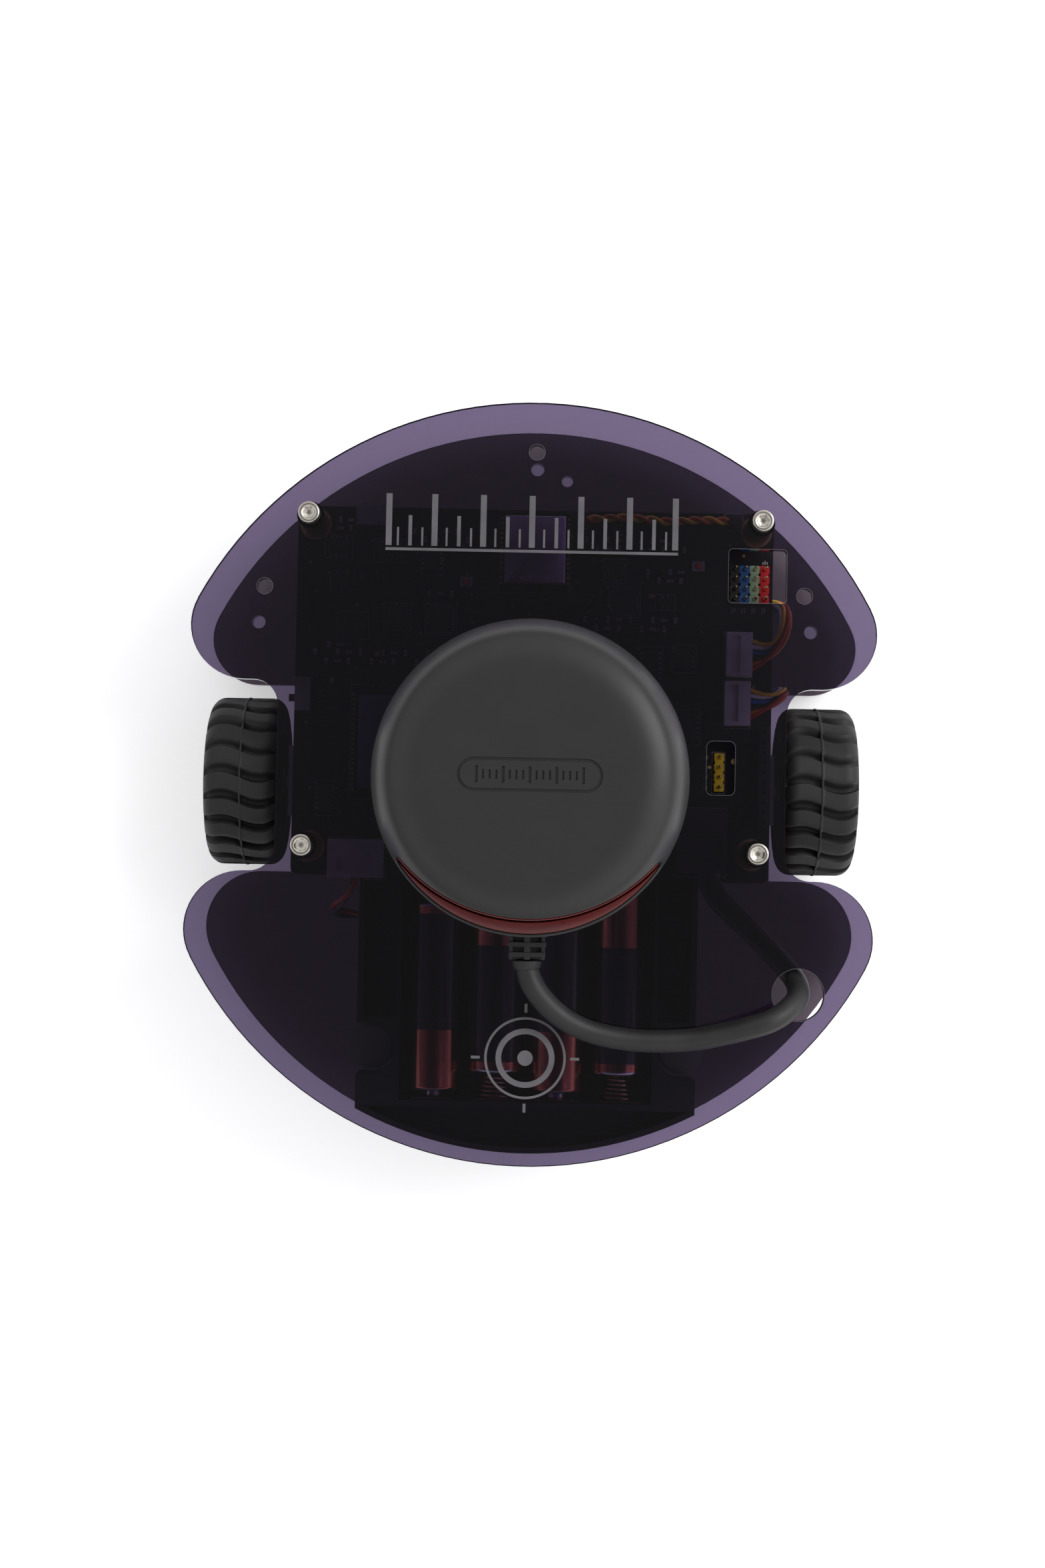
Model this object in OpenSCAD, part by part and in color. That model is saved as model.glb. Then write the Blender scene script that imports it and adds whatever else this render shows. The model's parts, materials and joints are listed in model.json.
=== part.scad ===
// Round two-wheeled mapping robot: two acrylic decks, a controller board between them,
// a spinning laser scanner on top, two geared drive wheels, ball casters and four AA cells.
// Millimetres. Origin on the floor at the centre; +Y is the front, +X the right, +Z up.

/* [Decks] */
// Outer radius of both decks
deck_r = 95; // [95:0.5:96]
// Thickness of each acrylic deck
deck_t = 3; // [2.5:0.1:3.2]
// Widest point of the lobes, from the centre line
lobe_x = 85.5; // [85.5:0.05:85.6]
// Front edge of the upper deck's wheel notches, along Y
notch_front = 24.4; // [23.5:0.05:24.5]
// Rear edge of the wheel notches, along -Y
notch_rear = 23.3; // [23.2:0.05:24]
// Front edge of the lower deck's wheel notches, along Y
low_notch_front = 26.2; // [24.5:0.05:26.4]
// Distance of a notch's inner edge from the centre line
notch_x = 63.35; // [63:0.05:63.5]
// Radius in the upper deck's notch corners
corner_r = 6.3; // [4:0.1:6.5]
// Underside of the lower deck above the floor
bottom_z = 5.4; // [5.2:0.1:5.6]

/* [Stack] */
// Length of the four lower standoffs
lower_gap = 22; // [21.5:0.1:22.5]
// Length of the four upper standoffs
upper_gap = 15; // [14.5:0.1:18]
// Thickness of the controller board
board_t = 1.6; // [1.2:0.1:1.8]
// Diameter of the round standoffs
standoff_d = 6.8; // [5:0.1:7]

/* [Wheels] */
// Diameter of the rubber tyres
tyre_d = 43.5; // [43:0.1:43.6]
// Width of the tyres
tyre_w = 19; // [18:0.1:19]
// Distance of each tyre's middle from the centre line
wheel_x = 73.4; // [73.4:0.05:73.6]
// Tread grooves round one side of a tyre
treads = 20; // [16:1:24]

/* [Scanner] */
// Largest radius of the scanner
scan_r = 37.85; // [37.7:0.05:38]
// Height of the scanner above the top deck
scan_h = 40.8; // [40:0.1:41]
// Diameter of the scanner's cable
cable_d = 5.6; // [5:0.1:5.7]

/* [Battery] */
// Diameter of an AA cell
cell_d = 14.5; // [14:0.1:14.5]
// Length of an AA cell with its nub
cell_l = 50.5; // [50:0.1:50.5]
// Spacing of the cells
cell_pitch = 16.15; // [15.5:0.05:16.2]

/* [Hidden] */
$fn = 96;

smoke = [0.23, 0.18, 0.30, 0.75];
black = [0.07, 0.07, 0.08];
rubber = [0.16, 0.16, 0.16];
steel = [0.78, 0.78, 0.80];
brass = [0.80, 0.58, 0.32];
copper = [0.72, 0.38, 0.26];
white = [0.90, 0.90, 0.88];

deck_top = bottom_z + deck_t;
board_z = deck_top + lower_gap;
board_top = board_z + board_t;
top_z = board_top + upper_gap;
scan_z = top_z + deck_t;
axle_z = tyre_d / 2;

// Where the four stacked columns stand
column_x = 56.5;
column_front_y = 66;
column_rear_y = -16.75;
columns = [for (x = [-column_x, column_x], y = [column_rear_y, column_front_y]) [x, y]];
screw_r = 1.5;
screw_hole_r = 1.6;
head_r = 2.75;
head_h = 3;

// Accessory holes: one on the centre line and one on each shoulder
top_front_hole = [0, 82.5];
top_side_hole = [67.3, 47.7];
top_hole_r = 2;
bottom_front_hole = [0, 85.2];
bottom_side_hole = [73.5, 43];
bottom_hole_r = 1.75;
sight_hole = [8, 82.2];
cable_hole = [67.2, -51.4];
cable_hole_r = 6.5;
lidar_screw_x = 19;

board_x = 61;
board_front_y = 70.6;
board_rear_y = -24;
pin_pitch = 2.54;

caster_r = 4.5;
caster_hole_r = 5.5;
front_caster = [0, 60];
left_caster = [-40.6, -68.6];
right_caster = [40.6, -68.6];
casters = [front_caster, left_caster, right_caster];

tray_half = 43.7;
tray_h = 16.6;
tray_wall = 1.5;
tray_front_y = -22;
cells_front_y = -23.4;
cells_rear_y = -81.4;
cells_half = 2 * cell_pitch + 0.3;
plate_t = 0.5;
tray_floor = 1.2;
cell_z = deck_top + tray_floor + cell_d / 2 + 0.1;

bracket_x = 60.4;
bracket_t = 2;
bracket_half = 9;
bracket_screw_x = 52;
bracket_screw_y = 4.5;
gearbox_l = 9;
gearbox_w = 12;
gearbox_h = 10;
motor_l = 15.5;
motor_x = bracket_x - gearbox_l - motor_l;
shaft_r = 1.5;
rim_r = 15;

base_r = 37.2;
base_top = scan_z + 19;
head_low = base_top + 0.6;
head_high = scan_z + scan_h;
slit_z = head_high - 8.8;
slit_r = 40;
slit_y = 6.8;
window_r = 36.6;
post_r = 7.5;
run = 0.05;

// The scanner cable: out of the strain relief, round on the deck, down its hole, to its socket
cable_route = [
  [0, -44, 58], [0.6, -48, 57.8], [3, -52.2, 57], [7.2, -56.5, 55.7], [12.6, -59.9, 54.4],
  [19, -62, 53.5], [26.5, -63.1, 53], [34, -63.2, 53], [41.5, -62.6, 53.2],
  [48.3, -61.1, 54.8], [54.6, -59.3, 57], [59.8, -57.5, 57.6], [64, -54.9, 55.7],
  [66.9, -51.9, 51.8], [67.2, -48.9, 47.3], [65.2, -45.6, 44], [61.6, -41.6, 41.8],
  [57, -36.9, 40.1], [52.2, -32.4, 39], [48.2, -28.4, 38], [46, -25, 37.3], [45.4, -22.2, 37]
];
lead_d = 3.4;
front_motor_route = [
  [55.65, 34.1, 34.6], [58.5, 34.3, 34.9], [61.6, 36.2, 35.2], [63.6, 39.8, 34.8],
  [64.3, 43.6, 33], [64, 46.6, 29.6], [61.6, 48, 25.4], [57, 46.8, 22], [50.5, 43, 20],
  [42, 37.5, 19], [32, 31.5, 18.6], [21, 26, 18.6], [9, 22, 18.6], [-3, 19.6, 18.6],
  [-14, 18.4, 18.8], [-23, 16.8, 19.6], [-28.6, 14, 20.8], [-31, 11.4, 21.6],
  [-31.5, 9, 21.75]
];
rear_motor_route = [
  [55.35, 21.6, 34.6], [58, 21.7, 34.8], [61, 22.6, 34.4], [63.4, 24.2, 32.4],
  [64.2, 25.2, 29], [62.8, 24.8, 25.6], [59, 22.6, 23], [53.6, 19.6, 21.6],
  [47.4, 16.8, 21], [41, 15, 21], [35.6, 13.4, 21.4], [32.4, 11.4, 21.7], [31.5, 9, 21.75]
];
battery_route = [
  [-43.7, -34, 19], [-46.5, -34, 19.2], [-49, -33.6, 21], [-50, -33, 24.4],
  [-49.4, -32, 28.4], [-47.4, -30.2, 32], [-45.2, -27.6, 34.4], [-44.2, -24.6, 35.2]
];
front_lead_route = [
  [12.8, 68.4, 33.4], [17, 68.5, 33.4], [22, 68.9, 33.4], [28, 68.6, 33.4],
  [34, 68.1, 33.4], [40, 68.5, 33.4], [45, 68.6, 33.4], [49.2, 68.4, 33.4]
];

function unit(v) = v / norm(v);

// A smooth curve through the points p, between p[i] and the next one
function curve_at(p, i, t) =
  let (a = p[max(i - 1, 0)], b = p[i], c = p[i + 1], d = p[min(i + 2, len(p) - 1)])
  0.5 * (2 * b + (c - a) * t + (2 * a - 5 * b + 4 * c - d) * t * t
    + (3 * b - a - 3 * c + d) * t * t * t);

function curve(p, steps) =
  concat([for (i = [0 : len(p) - 2], k = [0 : steps - 1]) curve_at(p, i, k / steps)],
    [p[len(p) - 1]]);

function along(p, i) = unit(p[min(i + 1, len(p) - 1)] - p[max(i - 1, 0)]);

// A sideways direction at each point, carried along without twist
function sideways(p, u, i) =
  i == len(p) ? [] :
  let (w = unit(u - (u * along(p, i)) * along(p, i)))
  concat([w], sideways(p, w, i + 1));

module tube(p, d, sides) {
  u = sideways(p, [0.1, 0.2, 1], 0);
  n = len(p);
  rings = [
    for (i = [0 : n - 1], k = [0 : sides - 1])
      let (a = 360 * k / sides, w = cross(along(p, i), u[i]))
      p[i] + d / 2 * (cos(a) * u[i] + sin(a) * w)
  ];
  walls = [
    for (i = [0 : n - 2], k = [0 : sides - 1])
      let (m = (k + 1) % sides)
      [i * sides + k, (i + 1) * sides + k, (i + 1) * sides + m, i * sides + m]
  ];
  near = [for (k = [0 : sides - 1]) k];
  far = [for (k = [0 : sides - 1]) n * sides - 1 - k];
  polyhedron(rings, concat([near], walls, [far]), convexity = 8);
}

module side(s) {
  if (s > 0) children();
  else mirror([1, 0, 0]) children();
}

// A box given by its low corner and its size
module block(corner, size) {
  translate(corner) cube(size);
}

// A box standing at height z, centred on x and y
module chip(x, y, z, size) {
  translate([x - size[0] / 2, y - size[1] / 2, z]) cube(size);
}

module post(at, z, r, h) {
  translate([at[0], at[1], z]) cylinder(r = r, h = h);
}

module x_rod(x, y, z, r, l) {
  translate([x, y, z]) rotate([0, 90, 0]) cylinder(r = r, h = l);
}

module y_rod(x, y, z, r, l) {
  translate([x, y, z]) rotate([-90, 0, 0]) cylinder(r = r, h = l);
}

// ---------- decks ----------

// A lobe's end circle touches the notch edge and the widest line, and stays just inside the deck
// circle by this margin, so that no two arcs meet at a shallow angle
lobe_margin = 0.1;
function end_r(edge) =
  let (b = deck_r - lobe_x + edge, c = lobe_x * lobe_x + edge * edge - deck_r * deck_r)
  sqrt(b * b - c) - b - lobe_margin;

// Each lobe is a slice of the big circle, bounded by rays through the small end circles
module lobe(edge) {
  cx = lobe_x - end_r(edge);
  cy = edge + end_r(edge);
  far = 3;
  intersection() {
    circle(r = deck_r, $fn = 180);
    polygon([
      [-cx, edge], [cx, edge], [cx, cy], [far * cx, far * cy],
      [far * cx, far * deck_r], [-far * cx, far * deck_r], [-far * cx, far * cy], [-cx, cy]
    ]);
  }
  for (x = [-cx, cx]) translate([x, cy]) circle(r = end_r(edge));
}

module deck_outline(front) {
  lobe(front);
  mirror([0, 1]) lobe(notch_rear);
  translate([-notch_x, -notch_rear - 1]) square([2 * notch_x, front + notch_rear + 2]);
}

module notch_corner(edge) {
  difference() {
    translate([notch_x - 1, edge - corner_r]) square([corner_r + 1, corner_r + 1]);
    translate([notch_x + corner_r, edge - corner_r]) circle(r = corner_r);
  }
}

module rounded_slot(x, y, w, l, r) {
  union() {
    translate([x + r, y]) square([w - 2 * r, l]);
    translate([x, y + r]) square([w, l - 2 * r]);
    for (dx = [r, w - r], dy = [r, l - r]) translate([x + dx, y + dy]) circle(r = r);
  }
}

module bottom_plate() color(smoke) translate([0, 0, bottom_z]) linear_extrude(deck_t)
  difference() {
    deck_outline(low_notch_front);
    for (c = columns) translate(c) circle(r = screw_hole_r);
    for (c = casters) translate(c) circle(r = caster_hole_r);
    translate(bottom_front_hole) circle(r = bottom_hole_r);
    for (s = [-1, 1]) translate([s * bottom_side_hole[0], bottom_side_hole[1]])
      circle(r = bottom_hole_r);
    translate(sight_hole) circle(r = 1.5);
    for (s = [-1, 1], y = [-bracket_screw_y, bracket_screw_y])
      translate([s * bracket_screw_x, y]) circle(r = screw_hole_r);
  }

module top_plate() color(smoke) translate([0, 0, top_z]) linear_extrude(deck_t)
  difference() {
    union() {
      deck_outline(notch_front);
      for (mx = [0, 1]) mirror([mx, 0]) {
        notch_corner(notch_front);
        mirror([0, 1]) notch_corner(notch_rear);
      }
    }
    for (c = columns) translate(c) circle(r = screw_hole_r);
    translate(top_front_hole) circle(r = top_hole_r);
    for (s = [-1, 1]) translate([s * top_side_hole[0], top_side_hole[1]])
      circle(r = top_hole_r);
    translate(cable_hole) circle(r = cable_hole_r);
    rounded_slot(48.3, 45.7, 14.5, 13.5, 1);
    rounded_slot(43.6, -2.3, 7.1, 13.4, 1.5);
    for (x = [-lidar_screw_x, lidar_screw_x], y = [-lidar_screw_x, lidar_screw_x])
      translate([x, y]) circle(r = 1.35);
  }

// ---------- columns and screws ----------

module standoff(at, z, h) {
  difference() {
    post(at, z, standoff_d / 2, h);
    post(at, z - 1, screw_hole_r, h + 2);
  }
}

module lower_standoffs() color(copper) for (c = columns) standoff(c, deck_top, lower_gap);
module upper_standoffs() color(copper) for (c = columns) standoff(c, board_top, upper_gap);

// Socket-head cap screw standing on z, head up
module cap_screw(at, z, l) {
  difference() {
    union() {
      post(at, z - l, screw_r, l);
      post(at, z, head_r, head_h);
    }
    translate([at[0], at[1], z + 1.2]) cylinder(r = 1.44, h = head_h, $fn = 6);
  }
}

module top_screws() color(steel) for (c = columns) cap_screw(c, scan_z, 12);

module bottom_screws() color(steel) for (c = columns)
  difference() {
    union() {
      post(c, bottom_z, screw_r, 12);
      post(c, bottom_z - 1.7, head_r, 1.7);
    }
    translate([c[0], c[1], bottom_z - 2]) cylinder(r = 1.15, h = 1.3, $fn = 6);
  }

// ---------- controller board ----------

module main_board() color(black) translate([0, 0, board_z]) linear_extrude(board_t)
  difference() {
    rounded_slot(-board_x, board_rear_y, 2 * board_x, board_front_y - board_rear_y, 2);
    for (c = columns) translate(c) circle(r = screw_hole_r);
    translate([0, -15]) circle(r = 1.6);
  }

module core_module() color([0.62, 0.55, 0.66]) {
  chip(-0.1, 60, board_top, [17.8, 20.6, 1]);
  chip(-0.1, 59.2, board_top + 1, [15.6, 16.6, 2]);
}

module driver_module() color([0.45, 0.42, 0.58]) {
  chip(-31.8, 10.2, board_top, [28.4, 28.6, 1.2]);
  chip(-31.8, 10.2, board_top + 1.2, [25, 25, 1.9]);
}

// Packages: centre x, centre y, length, width, height
packages = [
  [20.5, 55.3, 5, 5, 0.9], [23, 47.5, 7, 7, 1], [33.5, 47.5, 4.2, 3, 1],
  [-50.5, 60.3, 6, 5, 1.6], [-49.5, 51.5, 5, 4, 1.4], [-37.5, 59.5, 7, 5, 1.6],
  [-26.5, 57, 5, 6, 1.2], [-46.5, 40, 7, 6, 3], [-35, 42.5, 6, 6, 3], [-24, 42, 7, 7, 1],
  [30, 30.5, 5, 10, 1.6], [40, 15.5, 5, 8, 1.6], [18, -14, 8, 5, 1.6], [-8, -14, 9, 6, 1.6],
  [38.6, 33, 5, 6, 1.4], [-52, -4.4, 5, 8, 2.2], [11.2, 68.4, 3.2, 3.4, 2.6],
  [50.9, 68.4, 3.4, 3.4, 2.6]
];

module chips() color([0.10, 0.10, 0.11])
  for (p = packages) chip(p[0], p[1], board_top, [p[2], p[3], p[4]]);

function far_from_columns(at) = min([for (c = columns) norm(at - c)]) > standoff_d / 2 + 1;

// A field of small parts on a grid, thinned by a rule so that it doesn't look regular
module field(x0, y0, nx, ny, step) {
  for (i = [0 : nx - 1], j = [0 : ny - 1])
    if ((i * 7 + j * 5) % 4 != 0 && far_from_columns([x0 + i * step, y0 + j * step * 0.8]))
      chip(x0 + i * step, y0 + j * step * 0.8, board_top,
        (i + j) % 2 == 0 ? [1.6, 0.8, 0.5] : [0.9, 1.5, 0.6]);
}

module passives() color([0.55, 0.50, 0.44]) {
  field(-56, 30.8, 12, 2, 2.9);
  field(-55.4, 35, 3, 1, 2.9);
  field(-30, 48.6, 5, 1, 2.9);
  field(-55.6, 65, 4, 2, 2.7);
  field(-31, 62.5, 6, 2, 2.7);
  field(13, 61, 10, 2, 2.8);
  field(13, 40.5, 9, 2, 2.9);
  field(29, 53, 4, 2, 2.8);
  field(20, 22, 6, 2, 2.9);
  field(-14, -20.5, 9, 1, 2.9);
}

module status_leds() color([0.75, 0.16, 0.12])
  for (at = [[41.8, 56.9], [-17.6, 51.8]])
    difference() {
      post(at, board_top, 1.6, 1.1);
      post(at, board_top + 0.5, 0.8, 1);
    }

module usb_socket() color(steel) difference() {
  block([-45.8, 65.6, board_top], [7.6, 5.4, 2.8]);
  block([-45.2, 67.4, board_top + 0.5], [6.4, 5, 1.8]);
}

header_x = 54.85;
header_y = 52.3;
servo_columns = [-1.5, -0.5, 0.5, 1.5];

// One plastic strip of count pins along Y, with its chamfered pin positions
module strip(x, y, count, z, h) {
  for (k = [0 : count - 1])
    chip(x, y + (k - (count - 1) / 2) * pin_pitch, z, [2.5, 1.9, h]);
  chip(x, y, z, [2, count * pin_pitch - 0.4, h]);
}

module servo_strip(i) {
  strip(header_x + servo_columns[i] * pin_pitch, header_y, 4, board_top, 2.5);
}

module servo_header_black() color(black) difference() {
  servo_strip(0);
  pin_rows(0.2);
}
module servo_header_blue() color([0.12, 0.32, 0.66]) difference() {
  servo_strip(1);
  pin_rows(0.2);
}
module servo_header_green() color([0.55, 0.72, 0.55]) difference() {
  servo_strip(2);
  pin_rows(0.2);
}
module servo_header_red() color([0.80, 0.10, 0.10]) difference() {
  servo_strip(3);
  pin_rows(0.2);
}

debug_x = 47.9;
debug_y = 4.1;

module pins(x, y, count, grow) {
  for (k = [0 : count - 1])
    chip(x, y + (k - (count - 1) / 2) * pin_pitch, board_top,
      [0.64 + grow, 0.64 + grow, 8.6 + grow]);
}

module pin_rows(grow) {
  for (i = servo_columns) pins(header_x + i * pin_pitch, header_y, 4, grow);
  pins(debug_x, debug_y, 4, grow);
}

module debug_header() color([0.88, 0.70, 0.10]) difference() {
  strip(debug_x, debug_y, 4, board_top, 2.5);
  pin_rows(0.2);
}

module header_pins() color(brass) pin_rows(0);

module socket_strip(x, y, count) {
  difference() {
    chip(x, y, board_top, [2.5, count * pin_pitch, 8.5]);
    for (k = [0 : count - 1])
      chip(x, y + (k - (count - 1) / 2) * pin_pitch, board_top + 3, [0.8, 0.8, 7]);
  }
}

module side_headers() color(black) {
  socket_strip(58.7, 2.7, 10);
  socket_strip(-58.4, 45.4, 4);
}

// White six-way plug in its side-entry base, opening towards the right
module motor_plug(x, y) {
  difference() {
    chip(x, y, board_top, [6.6, 11.3, 5]);
    for (k = [-2.5 : 1 : 2.5]) chip(x + 3, y + k * 1.5, board_top + 1.8, [1.4, 0.8, 1.6]);
    block([x - 2.2, y - 4.6, board_top + 4.2], [2.4, 9.2, 2]);
  }
}

module motor_plugs() color(white) {
  motor_plug(52.35, 34.1);
  motor_plug(52.05, 21.6);
}

module battery_connector() color(white) difference() {
  chip(-44.2, -19.7, board_top, [14, 9.8, 6]);
  chip(-44.2, -21.5, board_top + 5, [9, 3, 2]);
  for (dx = [-3.6, 0, 3.6]) y_rod(-44.2 + dx, -25, board_top + 3.2, 0.9, 3);
}

module lidar_socket() color([0.20, 0.19, 0.21]) {
  difference() {
    chip(43.5, -13.5, board_top, [12.4, 16.2, 8.5]);
    block([38.6, -20, board_top + 7.4], [9.8, 9, 2]);
  }
  y_rod(45.4, -22.2, board_top + 5, 3.2, 0.6);
}

// Slide switch on the left edge of the board
switch_x = -58.6;
switch_y = 22;
switch_travel = 2;

module power_switch() color(steel) difference() {
  chip(switch_x, switch_y, board_top, [4, 8.6, 3.6]);
  chip(switch_x - 1, switch_y, board_top + 1.1, [5, 5.2, 1.6]);
}

module power_switch_slider() color(black) {
  chip(switch_x - 0.6, switch_y - switch_travel / 2, board_top + 1.2, [2.4, 3, 1.4]);
  chip(switch_x - 2.6, switch_y - switch_travel / 2, board_top + 1.3, [2, 1.8, 1.2]);
}

// ---------- battery ----------

cell_row = [-1.5, -0.5, 0.5, 1.5];
caster_bite_r = 6.6;

module tray_outline(inset) {
  intersection() {
    circle(r = deck_r - 0.5 - inset, $fn = 180);
    rounded_slot(-tray_half + inset, -deck_r, 2 * (tray_half - inset),
      deck_r + tray_front_y - inset, 0.8);
  }
}

module battery_tray() color(black) translate([0, 0, deck_top]) difference() {
  linear_extrude(tray_h) difference() {
    tray_outline(0);
    for (c = [left_caster, right_caster]) {
      translate(c) circle(r = caster_bite_r);
      translate([c[0] > 0 ? c[0] : c[0] - 9, c[1] - caster_bite_r])
        square([9, 2 * caster_bite_r]);
    }
  }
  block([-cells_half, cells_rear_y, tray_floor],
    [2 * cells_half, cells_front_y - cells_rear_y, tray_h]);
  translate([0, 0, tray_floor]) linear_extrude(tray_h) intersection() {
    tray_outline(tray_wall);
    union() {
      translate([-tray_half, -deck_r]) square([2 * tray_half, deck_r + cells_rear_y - 1.6]);
      for (s = [-1, 1]) translate([s > 0 ? cells_half + 1.2 : -tray_half, -60.2])
        square([tray_half - cells_half - 1.2, 60.2 + tray_front_y]);
    }
  }
}

// An AA cell lying along Y; end is +1 with its nub to the front, -1 to the rear
module cell(i, end) {
  shift = plate_t + 0.1;
  middle = (cells_front_y + cells_rear_y) / 2;
  room = (cells_front_y - cells_rear_y) / 2 - shift;
  translate([cell_row[i] * cell_pitch, middle, cell_z]) rotate([end > 0 ? -90 : 90, 0, 0])
    translate([0, 0, room - cell_l]) union() {
      cylinder(r = cell_d / 2 - 0.5, h = 0.6);
      translate([0, 0, 0.5]) cylinder(r = cell_d / 2, h = cell_l - 2);
      translate([0, 0, cell_l - 1.6]) cylinder(r = 2.75, h = 1.6);
    }
}

module battery_cell_1() color(copper) cell(0, -1);
module battery_cell_2() color(copper) cell(1, 1);
module battery_cell_3() color(copper) cell(2, -1);
module battery_cell_4() color(copper) cell(3, 1);

// A conical spring drawn as stacked rings on a thin core plate
module spring(turns, low_r, high_r, h) {
  wire_r = 0.35;
  for (k = [0 : turns - 1])
    translate([0, 0, wire_r + k * (h - 2 * wire_r) / (turns - 1)])
      rotate_extrude($fn = 48)
        translate([low_r + (high_r - low_r) * k / (turns - 1), 0]) circle(r = wire_r, $fn = 16);
}

module battery_contacts() color(brass) for (i = [0 : 3]) {
  x = cell_row[i] * cell_pitch;
  half = 5.4;
  block([x - half, cells_front_y - plate_t, cell_z - half], [2 * half, plate_t, 2 * half]);
  block([x - half, cells_rear_y, cell_z - half], [2 * half, plate_t, 2 * half]);
  spring_h = cells_front_y - cells_rear_y - cell_l - 2 * plate_t - 0.2;
  at_front = i % 2 == 0;
  translate([x, at_front ? cells_front_y - plate_t : cells_rear_y + plate_t, cell_z])
    rotate([at_front ? 90 : -90, 0, 0]) spring(6, 4.8, 3, spring_h);
}

module inner_leads() color([0.80, 0.35, 0.15]) {
  tube(curve(front_motor_route, 2), lead_d, 8);
  tube(curve(rear_motor_route, 2), lead_d, 8);
  tube(curve(battery_route, 2), 2.8, 8);
  tube(curve(front_lead_route, 2), 2.4, 8);
}

// ---------- drive, drawn on the right ----------

module gearbox() difference() {
  block([bracket_x - gearbox_l, -gearbox_w / 2, axle_z - gearbox_h / 2],
    [gearbox_l, gearbox_w, gearbox_h]);
  for (x = [2.2, 5.4]) for (s = [-1, 1])
    block([bracket_x - gearbox_l + x - 0.4, s > 0 ? 2.4 : -gearbox_w / 2 - 1,
      axle_z - 3.6], [2.2, gearbox_w / 2 - 1.4, 7.2]);
  x_rod(bracket_x - 8, 0, axle_z, shaft_r + run, 9);
  for (y = [-4.5, 4.5]) x_rod(bracket_x - 3, y, axle_z, 0.85, 4);
}

module motor() difference() {
  union() {
    intersection() {
      x_rod(motor_x, 0, axle_z, gearbox_w / 2, motor_l);
      block([motor_x, -gearbox_w / 2, axle_z - gearbox_h / 2], [motor_l, gearbox_w, gearbox_h]);
    }
    x_rod(motor_x - 1.2, 0, axle_z, 2.4, 1.4);
  }
  x_rod(motor_x - 3, 0, axle_z, 0.5 + run, 6);
}

module encoder_board() difference() {
  union() {
    block([motor_x - 2.2, -6.4, axle_z - 5.2], [1, 15.8, 10.4]);
    block([motor_x - 6.6, 6, axle_z - 3], [4.5, 3, 6]);
  }
  x_rod(motor_x - 4, 0, axle_z, 1.2, 6);
}

module encoder_disc() {
  x_rod(motor_x - 6, 0, axle_z, 3.75, 3.2);
  x_rod(motor_x - 3, 0, axle_z, 0.5, 5.4);
}

module drive_shaft() difference() {
  x_rod(bracket_x - 7.6, 0, axle_z, shaft_r, 19.1);
  block([bracket_x + 3.2, -2, axle_z + 1], [20, 4, 2]);
}

module bracket() difference() {
  union() {
    block([bracket_x, -bracket_half, deck_top], [bracket_t, 2 * bracket_half, 20.4]);
    block([bracket_x - 14.4, -bracket_half, deck_top], [15, 2 * bracket_half, 2]);
    for (y = [-bracket_half, bracket_half - 1.6])
      difference() {
        block([bracket_x - 9, y, deck_top], [9.4, 1.6, 9]);
        translate([bracket_x - 9, y - 1, deck_top + 9]) rotate([0, 45, 0])
          cube([8, 4, 20], center = true);
      }
  }
  x_rod(bracket_x - 1, 0, axle_z, 2.2, 4);
  for (y = [-4.5, 4.5]) x_rod(bracket_x - 1, y, axle_z, 0.95, 4);
  for (y = [-bracket_screw_y, bracket_screw_y])
    post([bracket_screw_x, y], deck_top - 1, screw_hole_r, 4);
}

module rim() difference() {
  union() {
    x_rod(wheel_x - 9, 0, axle_z, 4, 9);
    difference() {
      x_rod(wheel_x - 9, 0, axle_z, rim_r, 18);
      x_rod(wheel_x - 10, 0, axle_z, rim_r - 1.8, 9);
      x_rod(wheel_x + 1.5, 0, axle_z, rim_r - 1.8, 9);
    }
  }
  x_rod(wheel_x - 10, 0, axle_z, shaft_r + 0.02, 8.6);
  for (k = [0 : 5]) rotate_about_axle(60 * k) x_rod(wheel_x - 2, 0, axle_z + 8.4, 2.9, 6);
}

module rotate_about_axle(a) {
  translate([0, 0, axle_z]) rotate([a, 0, 0]) translate([0, 0, -axle_z]) children();
}

shoulder_r = 3.4;

module tyre_section() {
  w = tyre_w / 2;
  r = tyre_d / 2;
  translate([rim_r, -w + 0.4]) square([r - shoulder_r - rim_r, tyre_w - 0.8]);
  translate([rim_r, -w + shoulder_r]) square([r - rim_r, tyre_w - 2 * shoulder_r]);
  for (y = [-w + shoulder_r, w - shoulder_r])
    translate([r - shoulder_r, y]) circle(r = shoulder_r);
}

module tyre() difference() {
  translate([wheel_x, 0, axle_z]) rotate([0, 90, 0])
    rotate_extrude($fn = 120) tyre_section();
  for (k = [0 : treads - 1], s = [-1, 1])
    rotate_about_axle(360 * (k + (s > 0 ? 0.25 : 0)) / treads)
      translate([wheel_x + s * 5.6, 0, axle_z + tyre_d / 2 - 0.2]) rotate([0, 0, s * 14])
        cube([10.4, 1.5, 2.4], center = true);
}

module left_gearbox() color(brass) side(-1) gearbox();
module left_motor() color(steel) side(-1) motor();
module left_encoder_board() color([0.08, 0.22, 0.16]) side(-1) encoder_board();
module left_encoder_disc() color(black) side(-1) encoder_disc();
module left_shaft() color(steel) side(-1) drive_shaft();
module left_bracket() color([0.70, 0.70, 0.72]) side(-1) bracket();
module left_rim() color(black) side(-1) rim();
module left_tyre() color(rubber) side(-1) tyre();
module right_gearbox() color(brass) side(1) gearbox();
module right_motor() color(steel) side(1) motor();
module right_encoder_board() color([0.08, 0.22, 0.16]) side(1) encoder_board();
module right_encoder_disc() color(black) side(1) encoder_disc();
module right_shaft() color(steel) side(1) drive_shaft();
module right_bracket() color([0.70, 0.70, 0.72]) side(1) bracket();
module right_rim() color(black) side(1) rim();
module right_tyre() color(rubber) side(1) tyre();

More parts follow.
